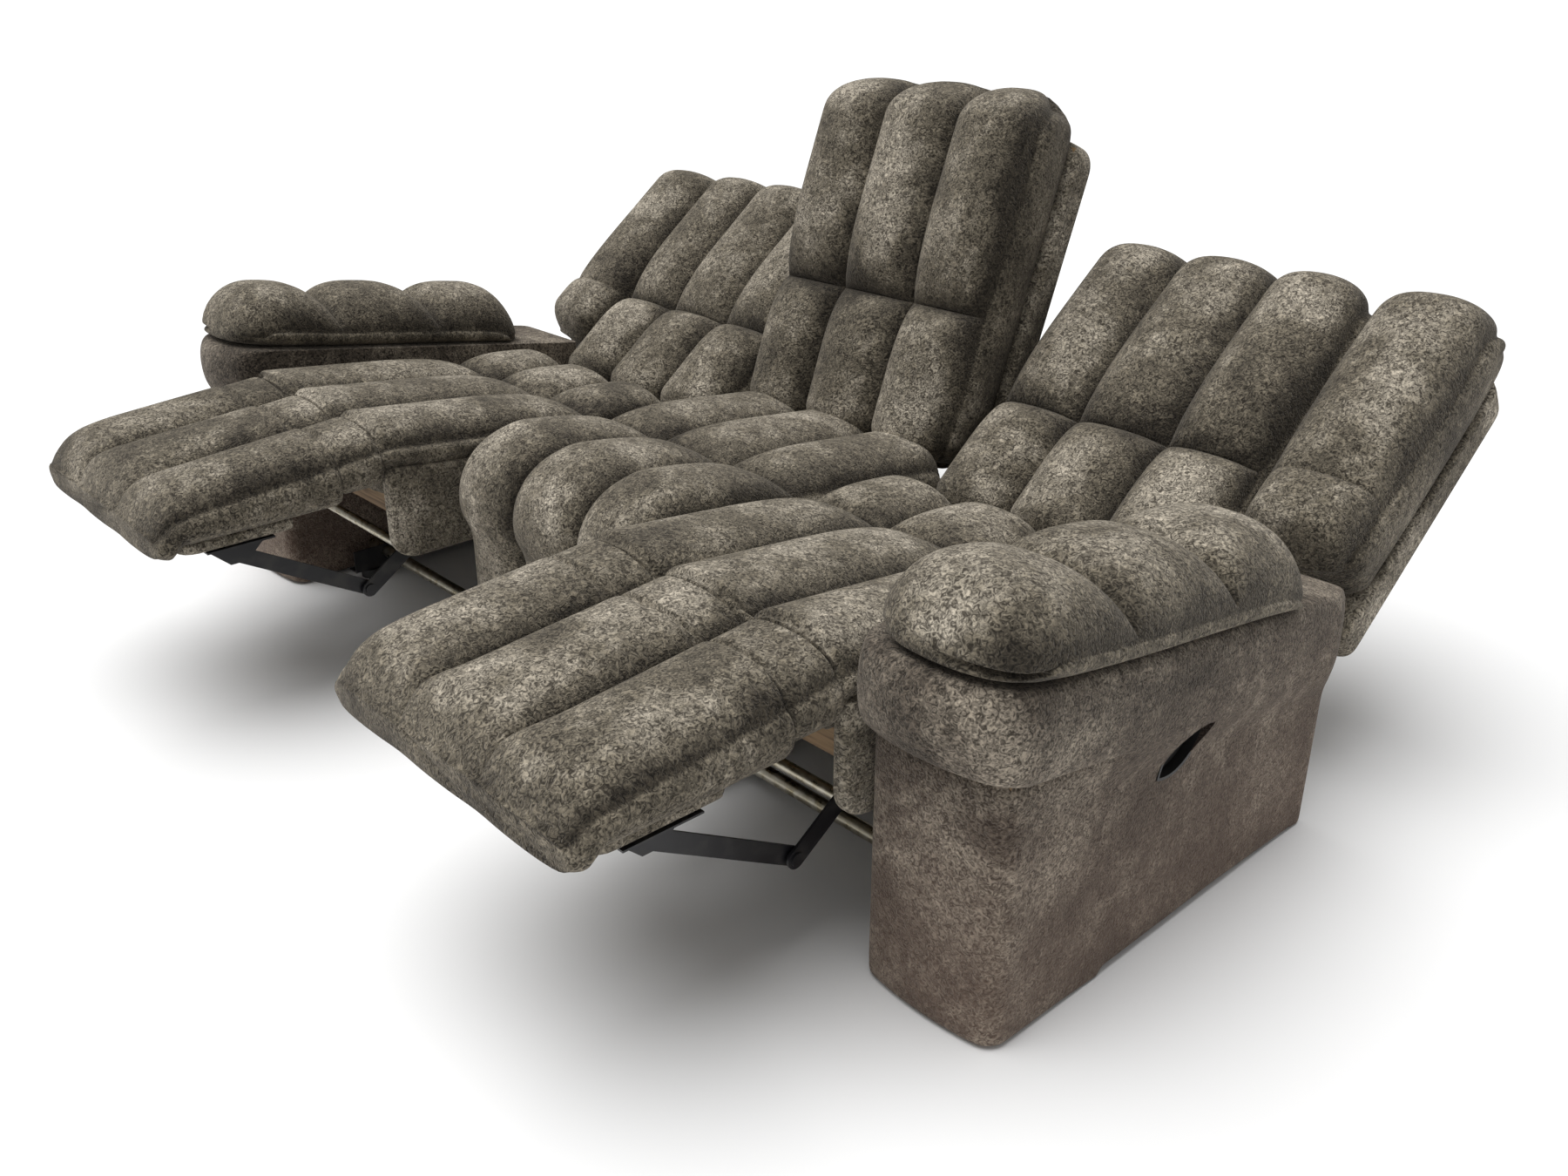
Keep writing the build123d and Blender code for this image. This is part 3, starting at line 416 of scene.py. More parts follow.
@dataclass(frozen=True)
class MouldedPlastic:
    """Injection moulded ABS: near black, with a fine spark-eroded grain that breaks up its gloss.

    The grain is drawn coarser than the real one, which is too fine to show in the render.
    """

    name: str = "black_moulded_abs"
    colour: str = "131212"
    worn: str = "201f1e"
    grain_mm: float = 0.9
    grain_relief_mm: float = 0.2

    def build(self) -> bpy.types.Material:
        """Builds the plastic, paler and duller on the tips of its grain.

        Returns:
            The finished material.
        """
        material, tree, shader, place = new_material(self.name)
        grain = add_node(tree, "ShaderNodeTexNoise", {"Scale": MM / self.grain_mm, "Detail": 2.0},
                         {"Vector": place})
        colour = add_node(tree, "ShaderNodeValToRGB",
                          {"stops": ((0.35, linear(self.colour)), (0.7, linear(self.worn)))},
                          {"Fac": grain.outputs["Fac"]})
        rough = add_node(tree, "ShaderNodeValToRGB", {"stops": ((0.3, grey(0.42)), (0.7, grey(0.6)))},
                         {"Fac": grain.outputs["Fac"]})
        relief = add_node(tree, "ShaderNodeBump", {"Strength": 0.2, "Distance": self.grain_relief_mm / MM},
                          {"Height": grain.outputs["Fac"]})
        set_node(tree, shader, {"IOR": 1.53},
                 {"Base Color": colour.outputs["Color"], "Roughness": rough.outputs["Color"],
                  "Normal": relief.outputs["Normal"]})
        return material


def closed_mesh(name: str, rings: np.ndarray, mirrored: bool,
                nap: Optional[np.ndarray] = None) -> bpy.types.Object:
    """Makes a closed piece from rings of points: quads between rings and, at each end, a strip across.

    Args:
        name: the piece's name.
        rings: places as (rings, points round a ring, 3).
        mirrored: whether to build the mirror image about X = 0.
        nap: painted shade and light at each point, 0 dark in a seam and 1 lit on a crown; 1 where left out.

    Returns:
        The new object, at the origin, with smooth faces that point outwards.
    """
    count, around = rings.shape[:2]
    places = rings.reshape(-1, 3).copy()
    if mirrored:
        places[:, 0] *= -1
    ring, point = np.meshgrid(np.arange(count - 1), np.arange(around), indexing="ij")
    beside = (point + 1) % around
    here, after = ring * around, (ring + 1) * around
    quads = np.stack([here + point, here + beside, after + beside, after + point], -1)
    half = np.arange(around // 2 - 1)
    strip = np.stack([half, half + 1, around - 2 - half, around - 1 - half], -1)
    last = (count - 1) * around
    faces = np.concatenate([quads.reshape(-1, 4), strip, strip + last]).tolist()
    if around % 2:
        tip = np.arange(3) + around // 2 - 1
        faces += [tip.tolist(), (tip + last).tolist()]
    mesh = bpy.data.meshes.new(name)
    mesh.from_pydata(places.tolist(), [], faces)
    # Painted shade and light, kept on the mesh for the plush to read
    shade_level = np.ones(count * around) if nap is None else nap.ravel()
    mesh.attributes.new("nap", "FLOAT", "POINT").data.foreach_set("value", shade_level.astype(np.float32))
    welded = bmesh.new()
    welded.from_mesh(mesh)
    bmesh.ops.remove_doubles(welded, verts=welded.verts, dist=WELD)
    bmesh.ops.recalc_face_normals(welded, faces=welded.faces)
    welded.to_mesh(mesh)
    welded.free()
    mesh.polygons.foreach_set("use_smooth", np.ones(len(mesh.polygons), dtype=bool))
    mesh.update()
    piece = bpy.data.objects.new(name, mesh)
    bpy.context.scene.collection.objects.link(piece)
    return piece


def mesh_places(mesh: bpy.types.Mesh) -> np.ndarray:
    """Reads the vertex places of a mesh.

    Args:
        mesh: the mesh.

    Returns:
        Places as (vertices, 3).
    """
    out = np.empty(len(mesh.vertices) * 3)
    mesh.vertices.foreach_get("co", out)
    return out.reshape(-1, 3)


def held_under(places: np.ndarray, height: np.ndarray | float) -> np.ndarray:
    """Weights that hold everything under a height and leave the rest loose."""
    return np.where(places[:, 2] < height, 1.0, LOOSE)


@dataclass(frozen=True)
class Stuffing:
    """Fills a sewn cover: cloth under inside pressure, held where it is sewn or glued down."""

    cap: float
    frames: int = 18
    quality: int = 4
    pressure: float = 4.0
    mass: float = 0.25
    stretch: float = 12
    shear: float = 4
    bend: float = 0.6

    def fill(self, piece: bpy.types.Object, held: Curve) -> None:
        """Runs the cloth and keeps its shape in the mesh, no point moving further than the cap.

        Args:
            piece: the cover, as a closed mesh.
            held: from vertex places to weights, 1 where the cover can't move.
        """
        rest = mesh_places(piece.data)
        weights = np.round(held(rest), 2)
        group = piece.vertex_groups.new(name="sewn")
        for level in np.unique(weights):
            group.add(np.flatnonzero(weights == level).tolist(), float(level), "REPLACE")
        cloth = piece.modifiers.new("stuffing", "CLOTH")
        cloth.settings.quality = self.quality
        cloth.settings.mass = self.mass
        cloth.settings.tension_stiffness = self.stretch
        cloth.settings.compression_stiffness = self.stretch
        cloth.settings.shear_stiffness = self.shear
        cloth.settings.bending_stiffness = self.bend
        cloth.settings.use_pressure = True
        cloth.settings.uniform_pressure_force = self.pressure
        cloth.settings.effector_weights.gravity = 0
        cloth.settings.vertex_group_mass = "sewn"
        cloth.collision_settings.use_collision = False
        cloth.point_cache.frame_start = 1
        cloth.point_cache.frame_end = self.frames
        scene = bpy.context.scene
        for step in range(1, self.frames + 1):
            scene.frame_set(step)
        shaped = piece.evaluated_get(bpy.context.evaluated_depsgraph_get())
        move = mesh_places(shaped.data) - rest
        far = np.linalg.norm(move, axis=1, keepdims=True)
        move *= np.minimum(1.0, self.cap / np.maximum(far, 1e-9))
        piece.modifiers.remove(cloth)
        piece.vertex_groups.remove(group)
        scene.frame_set(1)
        piece.data.vertices.foreach_set("co", (rest + move).ravel())
        piece.data.update()


@dataclass
class ChannelledPad:
    """A channelled cushion: a closed cross-section carried along a line in side view.

    The top of the section is one pillow profile per channel, multiplied by one pillow profile per row along
    the line, so that every channel of every row swells on its own between its sewn lines. The sides bulge,
    the foot is drawn in, and both ends close on a rounded nose, where each channel ends in a lobe of its own.
    A nose keeps a flat share of the section's height, its two corners are rounded in plan, and over a merge
    length the channels can run out into one smooth front.
    """

    seams: Sequence[float]
    rows: Sequence[float]
    line: Line
    height: Curve
    crown: float
    dip: float
    inset: float
    lip: float
    noses: tuple[float, float]
    lobes: tuple[float, float] = (0.0, 0.0)
    edge: float = 0.016
    row_dip: float = 1.0
    step: float = 0.009
    nose_middle: float = 0.45
    flats: tuple[float, float] = (NOSE_FLAT, NOSE_FLAT)
    merge: float = 0.0
    corner: float = 0.006

    def stations(self) -> np.ndarray:
        """Places along the line.

        Returns:
            Even steps, with closer ones over the noses and beside the cross seams.
        """
        start, end = self.rows[0], self.rows[-1]
        near = 1 - np.sin(np.linspace(0, math.pi / 2, ROUND_POINTS))
        seams = (np.array(self.rows[1:-1])[:, None] + np.array([-SEAM_STEP, 0.0, SEAM_STEP])).ravel()
        noses = np.concatenate([start + self.noses[0] * near, end - self.noses[1] * near])
        return np.unique(np.concatenate([spaced(start, end, self.step), noses, seams]).round(5))

    def gaps(self, along: np.ndarray) -> np.ndarray:
        """Distance from each end of the pad in nose lengths, as (2, places)."""
        return np.stack([(along - self.rows[0]) / self.noses[0], (self.rows[-1] - along) / self.noses[1]])

    def closing(self, along: np.ndarray) -> np.ndarray:
        """How open the section is: 1 along the pad, closing over each nose as a rounded end."""
        shut = (1 - (1 - self.gaps(along).clip(0, 1)) ** NOSE_POWER) ** (1 / NOSE_POWER)
        return np.maximum(shut, np.array(self.flats)[:, None]).min(axis=0)

    def merging(self, along: np.ndarray) -> np.ndarray:
        """How far the channels have run out: 1 at the front edge, easing to 0 over the merge length."""
        return eased(1 - (along - self.rows[0]) / self.merge) if self.merge else np.zeros_like(along)

    def swelling(self, along: np.ndarray, close: np.ndarray) -> np.ndarray:
        """How far each row swells along the line.

        Args:
            along: places along the line.
            close: how open the section is there.

        Returns:
            1 in a row's middle, less at a cross seam by the row's dip, and following the nose at a free end.
        """
        edges = np.array(self.rows)
        row = np.clip(np.searchsorted(edges, along, side="right") - 1, 0, len(edges) - 2)
        share = (2 * along - edges[row] - edges[row + 1]) / (edges[row + 1] - edges[row])
        drawn = 1 - self.row_dip * (1 - puff(share, ROW_POWER))
        free = ((row == 0) & (share < 0)) | ((row == len(edges) - 2) & (share > 0))
        return np.where(free, FREE_SWELL + (1 - FREE_SWELL) * close, drawn)

    def across(self) -> tuple[np.ndarray, np.ndarray]:
        """Places over the section's top.

        Returns:
            Places along X, closer beside the seams, and the pillow profile there, one pillow per channel.
        """
        left, right = self.seams[0], self.seams[-1]
        places, swell = [], []
        for low, high in zip(self.seams, self.seams[1:]):
            count = max(int((high - low) / self.step), 8)
            share = np.sin(np.linspace(-math.pi / 2, math.pi / 2, count))
            low += self.edge if low == left else 0
            high -= self.edge if high == right else 0
            last = None if high > right - 2 * self.edge else -1
            places.append(((low + high) / 2 + share * (high - low) / 2)[:last])
            swell.append(puff(share)[:last])
        return np.concatenate(places), np.concatenate(swell)

    def section(self, along: np.ndarray, close: np.ndarray) -> tuple[np.ndarray, np.ndarray, np.ndarray]:
        """Works out the cross-section at each place, before its ends are shaped.

        The top lies at seam height plus crown x row swelling x channel pillow. A half round falls from each
        of its edges to the lip, and the foot is flat.

        Args:
            along: places along the line.
            close: how open the section is there.

        Returns:
            Places along X, heights over the line as (places along, points round), and the painted shade and
            light.
        """
        swell = self.swelling(along, close)[:, None]
        height = self.height(along)[:, None]
        left, right = self.seams[0], self.seams[-1]
        x_top, p_top = self.across()
        whole = (2 * x_top - left - right) / (right - left - 2 * self.edge)
        broad = MERGED_CROWN * puff(whole, MERGED_POWER)
        pillow = p_top + (broad - p_top) * self.merging(along)[:, None]
        z_top = height - self.dip + (self.crown + self.dip) * swell * pillow
        turn = np.linspace(0, math.pi, ROUND_POINTS)[1:-1]
        x_side = self.edge * np.sin(turn) ** SIDE_POWER
        z_edge = height - self.dip
        z_side = z_edge + (np.minimum(self.lip, height * LIP_SHARE) - z_edge) * ((1 - np.cos(turn)) / 2)
        x_foot = np.linspace(right - self.inset, left + self.inset, max(int((right - left) / FOOT_STEP), 4))
        z_foot = np.zeros((len(along), len(x_foot)))
        x_left = (left + self.edge - x_side)[::-1]
        x_ring = np.concatenate([x_top, right - self.edge + x_side, x_foot, x_left])
        z_ring = np.concatenate([z_top, z_side, z_foot, z_side[:, ::-1]], axis=1)
        # Painted shade: the top runs from dark in its seams to light on its crowns, and the sides and the
        # foot are darker
        side_shading = np.full_like(z_side, SIDE_SHADING)
        nap = np.concatenate([swell * pillow, side_shading, z_foot + FOOT_SHADING, side_shading], axis=1)
        return x_ring, z_ring, nap

    def rings(self) -> tuple[np.ndarray, np.ndarray]:
        """Works out the pad's rings: its section, closed and narrowed over the noses and set on the line.

        Returns:
            Places as (rings along the line, points round the section, 3), and the painted shade and light at
            each.
        """
        along = self.stations()
        gaps = self.gaps(along)
        close = self.closing(along)[:, None]
        x_ring, z_ring, nap = self.section(along, close[:, 0])
        middle = (self.nose_middle * self.height(along))[:, None]
        z_ring = middle + (z_ring - middle) * close
        lobe = 1 - np.interp(x_ring, *self.across())
        reach = (1 - gaps / LOBE_REACH).clip(0, 1) ** 2 * np.array([[self.lobes[0]], [-self.lobes[1]]])
        pull = reach.sum(axis=0)[:, None] * lobe
        left, right = self.seams[0], self.seams[-1]
        centre = (left + right) / 2
        share = 2 * np.abs(x_ring - centre) / (right - left)
        near = np.clip(1 - gaps * np.array(self.noses)[:, None] / self.corner, 0, 1)
        tuck = (1 - np.sqrt(1 - near ** 2)).sum(axis=0) * 2 * self.corner / (right - left)
        narrow = 1 - NOSE_NARROWING * (1 - close) - tuck[:, None] * share ** CORNER_POWER
        x_ring = centre + (x_ring - centre) * narrow
        origin, up = self.line(along)
        y = origin[:, 0, None] + up[:, 0, None] * z_ring + up[:, 1, None] * pull
        z = origin[:, 1, None] + up[:, 1, None] * z_ring - up[:, 0, None] * pull
        return np.stack([x_ring, y, z], axis=-1), nap


def standing_on(floor: Curve) -> Line:
    """Line that follows a floor, with the pad standing straight up on it.

    Args:
        floor: from distances behind the arm fronts to the floor's heights.

    Returns:
        The line, as a function of the same distances.
    """
    def line(back: np.ndarray) -> tuple[np.ndarray, np.ndarray]:
        """Places on the floor in side view and the upward direction there."""
        return np.stack([ARM_FRONT + back, floor(back)], axis=1), np.tile([0.0, 1.0], (len(back), 1))
    return line


def rounded_outline(corners: Sequence[tuple[float, float]], radii: Sequence[float],
                    step: float = 0.012) -> np.ndarray:
    """A closed outline with rounded corners: straight runs joined by arcs that touch them.

    Args:
        corners: the outline's corners in order.
        radii: rounding of each corner.
        step: about how far apart the points lie.

    Returns:
        Points of the outline as (points, 2), evenly spaced.
    """
    points = np.array(corners, float)
    arcs = []
    for index, radius in enumerate(radii):
        before, here, after = points[index - 1], points[index], points[(index + 1) % len(points)]
        arriving = (before - here) / np.linalg.norm(before - here)
        leaving = (after - here) / np.linalg.norm(after - here)
        half = math.acos(np.clip(arriving @ leaving, -1, 1)) / 2
        reach = radius / math.tan(half)
        inward = (arriving + leaving) / np.linalg.norm(arriving + leaving)
        middle = here + inward * radius / math.sin(half)
        start, end = here + arriving * reach - middle, here + leaving * reach - middle
        sweep = math.atan2(start[0] * end[1] - start[1] * end[0], start @ end)
        count = max(int(abs(sweep) * radius / step * 2), 3)
        angle = math.atan2(start[1], start[0]) + np.linspace(0, sweep, count)
        arcs.append(middle + radius * np.stack([np.cos(angle), np.sin(angle)], axis=1))
    loop = np.concatenate(arcs)
    length = np.linalg.norm(np.roll(loop, -1, axis=0) - loop, axis=1)
    total = np.concatenate([[0], np.cumsum(length)])
    closed = np.concatenate([loop, loop[:1]])
    places = np.linspace(0, total[-1], int(total[-1] / step) + 1)[:-1]
    return np.stack([np.interp(places, total, closed[:, axis]) for axis in (0, 1)], axis=1)


@dataclass
class PaddedBoard:
    """An upholstered board: its outline shrunk in rings to a middle point on both faces, with padded edges.

    A ring's place is middle + (outline - middle) x share, and its depth follows a quarter round at the edges
    and a low crown over each face.
    """

    outline: np.ndarray
    low: float
    high: float
    crown: float
    edge: float
    middle_share: float = 0.02
    face_rings: int = 12
    edge_rings: int = 6

    def rings(self, place: Callable[[np.ndarray, np.ndarray], np.ndarray]) -> np.ndarray:
        """Works out the board's rings.

        Args:
            place: from outline points and depths to places in the frame.

        Returns:
            Places as (rings, points round the outline, 3).
        """
        middle = (self.outline.min(axis=0) + self.outline.max(axis=0)) / 2
        arms = self.outline - middle
        reach = np.linalg.norm(arms, axis=1).mean()
        share = np.linspace(self.middle_share, 1 - self.edge / reach, self.face_rings)
        turn = np.linspace(0, math.pi / 2, self.edge_rings)
        rim = 1 - self.edge / reach * (1 - np.sin(turn))
        depth_rim = self.edge * (1 - np.cos(turn))
        crown = self.crown * (1 - share ** 4)
        shares = np.concatenate([share, rim[1:], rim[::-1], share[::-1][1:]])
        depths = np.concatenate([self.low - crown, self.low + depth_rim[1:], self.high - depth_rim[::-1],
                                 (self.high + crown)[::-1][1:]])
        flat = middle + arms[None, :, :] * shares[:, None, None]
        deep = np.broadcast_to(depths[:, None], flat.shape[:2])
        return place(flat, deep)


def side_place(flat: np.ndarray, deep: np.ndarray) -> np.ndarray:
    """Places of side view points at depths along X."""
    return np.stack([deep, ARM_FRONT + flat[..., 0], flat[..., 1]], axis=-1)


def plan_place(flat: np.ndarray, deep: np.ndarray) -> np.ndarray:
    """Places of plan view points at depths along Z."""
    return np.stack([flat[..., 0], ARM_FRONT + flat[..., 1], deep], axis=-1)


@dataclass
class BackForm:
    """Sizes of a back, along and out from its flush rear face."""

    foot: tuple[float, float]
    slope: float
    bottom: float = -0.080
    bottom_flat: float = 0.5
    corner: float = 0.045
    wing_bottom: float = 0.060
    mid_seam: float = 0.197
    top: float = 0.640
    top_seam: float = 0.545
    top_roll: float = 0.34
    base: float = 0.058
    glued: float = 0.03
    seam_depth: float = 0.180
    panel_bottom: float = -0.080
    panel_wing_bottom: float = 0.006
    panel_top: float = 0.566
    panel_crown: float = 0.003
    panel_edge: float = 0.012

    def at(self, along: np.ndarray, out: np.ndarray | float) -> tuple[np.ndarray, np.ndarray]:
        """Y and Z at distances up the back and out from its rear face, both turned by the slope."""
        return (self.foot[0] + along * math.cos(self.slope) - out * math.sin(self.slope),
                self.foot[1] + along * math.sin(self.slope) + out * math.cos(self.slope))

    def line(self, along: np.ndarray) -> tuple[np.ndarray, np.ndarray]:
        """Line up the cushion's base, with the cushion standing out to the front."""
        outward = [-math.sin(self.slope), math.cos(self.slope)]
        return np.stack(self.at(along, self.base), axis=1), np.tile(outward, (len(along), 1))

    def place(self, flat: np.ndarray, deep: np.ndarray) -> np.ndarray:
        """Places of points across and up the back at depths out of its rear face."""
        return np.stack([flat[..., 0], *self.at(flat[..., 1], deep)], axis=-1)

    def held(self, places: np.ndarray) -> np.ndarray:
        """Weights that hold the cushion where it is glued to its frame.

        Args:
            places: vertex places as (vertices, 3).

        Returns:
            1 close to the frame, by the distance out from the rear face, and little elsewhere.
        """
        y, z = places[:, 1] - self.foot[0], places[:, 2] - self.foot[1]
        out = -y * math.sin(self.slope) + z * math.cos(self.slope)
        return np.where(out < self.base + self.glued, 1.0, LOOSE_BACK)

    def depth(self, along: np.ndarray) -> np.ndarray:
        """Cushion depth over its base.

        Args:
            along: places up the back.

        Returns:
            The full depth up to the top seam, then rolled back by the square of the distance past it.
        """
        full = self.seam_depth - self.base
        share = np.clip((along - self.top_seam) / (self.top - self.top_seam), 0, 1)
        return full * (1 - self.top_roll * share ** 2)

    def pad(self, seams: Sequence[float], bottom: float, crown: float, row_dip: float) -> ChannelledPad:
        """The back's cushion between two outer seams.

        Args:
            seams: seam places along X.
            bottom: where the cushion starts, along the back.
            crown: how far the channels swell out.
            row_dip: how deep the cross seam is drawn in, 0 to 1.

        Returns:
            The pad.
        """
        return ChannelledPad(seams=seams, rows=(bottom, self.mid_seam, self.top), line=self.line,
                             height=self.depth, crown=crown, dip=0.014, inset=0.006, lip=0.05,
                             noses=(0.06, 0.10), lobes=(0.02, 0.034), row_dip=row_dip,
                             flats=(self.bottom_flat, NOSE_FLAT), corner=self.corner)


@dataclass
class Upholstery:
    """Shared steps for every upholstered piece, on one side of the sofa or on its middle line."""

    plush: bpy.types.Material
    side: Optional[Side] = None

    def named(self, name: str) -> str:
        """A piece, node or body name, with the side's ending where there is a side."""
        return f"{name}_{self.side.tag}" if self.side else name

    def make(self, name: str, rings: np.ndarray, nap: Optional[np.ndarray] = None) -> bpy.types.Object:
        """A closed piece on this side from rings drawn on the right."""
        return closed_mesh(self.named(name), rings, self.side is Side.LEFT, nap)

    def dress(self, piece: bpy.types.Object, body: str, nodes: Sequence[str], fill: float, smooth: int = 1,
              fabric: Optional[bpy.types.Material] = None) -> None:
        """Puts the fabric on a piece and ties it to its body.

        Args:
            piece: the finished piece.
            body: the body that it rides on, or an empty text for a piece tied to no body.
            nodes: the frame's nodes that it stands for.
            fill: how tightly it is stuffed, 0 to 1; not used.
            smooth: subdivision steps.
            fabric: another material than the cushions' plush; the arm sleeves get a darker copy of it, as
                painted shade.
        """
        piece.data.materials.append(fabric or self.plush)
        if smooth:
            soft = piece.modifiers.new("smooth", "SUBSURF")
            soft.levels = smooth
            soft.render_levels = smooth
        if body:
            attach(piece, body)
        for node in nodes:
            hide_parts(node)
        LOG.info("%s: %d faces", piece.name, len(piece.data.polygons))

    def cushion(self, name: str, pad: ChannelledPad, cap: float, held: Curve, body: str,
                nodes: Sequence[str], fill: float) -> None:
        """Makes one channelled cushion: its cover, its stuffing and its fabric.

        Args:
            name: the piece's name, without the side's ending.
            pad: the cushion's shape.
            cap: how far the stuffing may move the cover.
            held: from vertex places to weights, 1 where the cover can't move.
            body: the body that it rides on.
            nodes: the frame's nodes that it stands for.
            fill: how tightly it is stuffed, 0 to 1.
        """
        piece = self.make(name, *pad.rings())
        Stuffing(cap).fill(piece, held)
        self.dress(piece, body, nodes, fill)


@dataclass
class Recliner(Upholstery):
    """One outer seat with its footrest and its back, drawn on the right.

    Sizes named rest are the footrest pad's, fold the fold strip's, wrap the wrapped board's and panel the
    seat box's sides'. The back's slope is in degrees.
    """

    seat_rows: tuple[float, float, float] = (-0.036, SEAT_SEAM, 0.703)
    seat_thick: float = 0.104
    seat_held: float = 0.05
    rear_drop: float = 0.054
    rear_from: float = 0.590
    rear_length: float = 0.080
    rest_rows: tuple[float, float] = (-0.452, -0.118)
    rest_front: float = -0.447
    rest_top: float = 0.434
    rest_rise: float = 0.030
    rest_low: float = 0.378
    lip_drop: float = 0.025
    lip_from: float = -0.404
    lip_length: float = 0.022
    rest_held: float = 0.385
    fold_rows: tuple[float, float] = (-0.1175, -0.0365)
    fold_low: float = 0.396
    fold_height: float = 0.44
    fold_start: float = -0.040
    fold_end: float = -0.114
    wrap_inset: float = 0.033
    wrap_front: float = -0.402
    wrap_rear: float = -0.200
    wrap_low: float = 0.352
    wrap_high: float = 0.3775
    panel_thick: float = 0.030
    panel_front: float = -0.035
    panel_rear: float = 0.590
    panel_low: float = 0.250
    panel_front_top: float = 0.432
    panel_rear_top: float = 0.366
    board_edge: float = 0.010
    back_foot: tuple[float, float] = (0.887, 0.238)
    back_slope: float = 38.0
    wing_reach: float = 0.212
    wing_lap: float = 0.006
    wing_crown: float = 0.055
    notch: float = 0.005
    outer_back_thick: float = 0.064

    def seat_height(self, back: np.ndarray) -> np.ndarray:
        """Seat cushion's thickness: even, then easing down under the back."""
        return self.seat_thick - self.rear_drop * eased((back - self.rear_from) / self.rear_length)

    def rest_foot(self, back: np.ndarray) -> np.ndarray:
        """Footrest pad's underside: level on its board, then dropping over the board's front."""
        return self.rest_low - self.lip_drop * np.clip((self.lip_from - back) / self.lip_length, 0, 1)

    def rest_height(self, back: np.ndarray) -> np.ndarray:
        """Footrest's seam height: a straight line that rises to the fold and goes on over the fold strip."""
        length = self.rest_rows[1] - self.rest_front
        return self.rest_top + self.rest_rise * (back - self.rest_front) / length

    def seat(self) -> None:
        """Seat cushion: long front channels, a cross seam and short rear ones that slope under the back."""
        pad = ChannelledPad(seams=even(BAY_MID, SEAT_HALF, CHANNELS), rows=self.seat_rows,
                            line=standing_on(lambda back: deck(back) + DECK_CLEAR), height=self.seat_height,
                            crown=0.038, dip=0.012, inset=0.0305, lip=0.072, noses=(0.012, 0.075),
                            lobes=(0.0, 0.012), row_dip=0.9, flats=(FOLD_FLAT, 0.3))
        self.cushion("seat_pillow", pad, cap=0.010,
                     held=lambda places: held_under(places, DECK_FRONT + self.seat_held),
                     body=self.named("seat"), nodes=[self.named("seat_cushion")], fill=0.8)

    def footrest(self) -> None:
        """Footrest pad with a rounded nose, its fold strip and its wrapped board."""
        seams = even(BAY_MID, SEAT_HALF, CHANNELS)
        pad = ChannelledPad(seams=seams, rows=self.rest_rows, line=standing_on(self.rest_foot),
                            height=lambda back: self.rest_height(back) - self.rest_foot(back), crown=0.036,
                            dip=0.010, inset=0.02, lip=0.012, noses=(0.085, 0.010), lobes=(0.006, 0.0),
                            flats=(0.45, FOLD_FLAT), merge=0.13, nose_middle=0.3)
        self.cushion("footrest_pillow", pad, cap=0.008,
                     held=lambda places: held_under(places, self.rest_held),
                     body=self.named("footrest"), nodes=[self.named("footrest_pad")], fill=0.75)
        strip = ChannelledPad(seams=seams, rows=self.fold_rows,
                              line=standing_on(lambda back: np.full_like(back, self.fold_low)),
                              height=lambda back: self.rest_height(back) - self.fold_low, crown=0.033,
                              dip=0.010, inset=0.02, lip=0.010, noses=(0.010, 0.010),
                              flats=(FOLD_FLAT, FOLD_FLAT))
        piece = self.make("fold_strip", *strip.rings())
        self.dress(piece, "", [self.named("footrest_flap")], fill=0.5)
        self.named("seat")
        self.named("footrest")
        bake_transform(piece)
        half = SEAT_HALF - self.wrap_inset
        outline = rounded_outline([(BAY_MID - half, self.wrap_front), (BAY_MID + half, self.wrap_front),
                                   (BAY_MID + half, self.wrap_rear), (BAY_MID - half, self.wrap_rear)],
                                  [0.03, 0.03, 0.012, 0.012])
        board = PaddedBoard(outline, self.wrap_low, self.wrap_high, crown=0.0, edge=self.board_edge)
        piece = self.make("footrest_wrap", board.rings(plan_place))
        self.dress(piece, self.named("footrest"), [self.named("footrest_board")], fill=1.0, smooth=0)

    def panels(self) -> None:
        """The two upholstered side panels of the seat box; the outer one stands for their shared node."""
        outline = rounded_outline([(self.panel_front, self.panel_low), (self.panel_rear, self.panel_low),
                                   (self.panel_rear, self.panel_rear_top),
                                   (self.panel_front, self.panel_front_top)], [0.042, 0.012, 0.012, 0.014])
        for name, low, nodes in (
                ("outer_seat_panel", BAY_MID + SEAT_HALF - self.panel_thick, [self.named("seat_panels")]),
                ("inner_seat_panel", BAY_MID - SEAT_HALF, [])):
            board = PaddedBoard(outline, low, low + self.panel_thick, crown=0.002, edge=self.board_edge)
            piece = self.make(name, board.rings(side_place))
            self.dress(piece, self.named("seat"), nodes, fill=0.9)

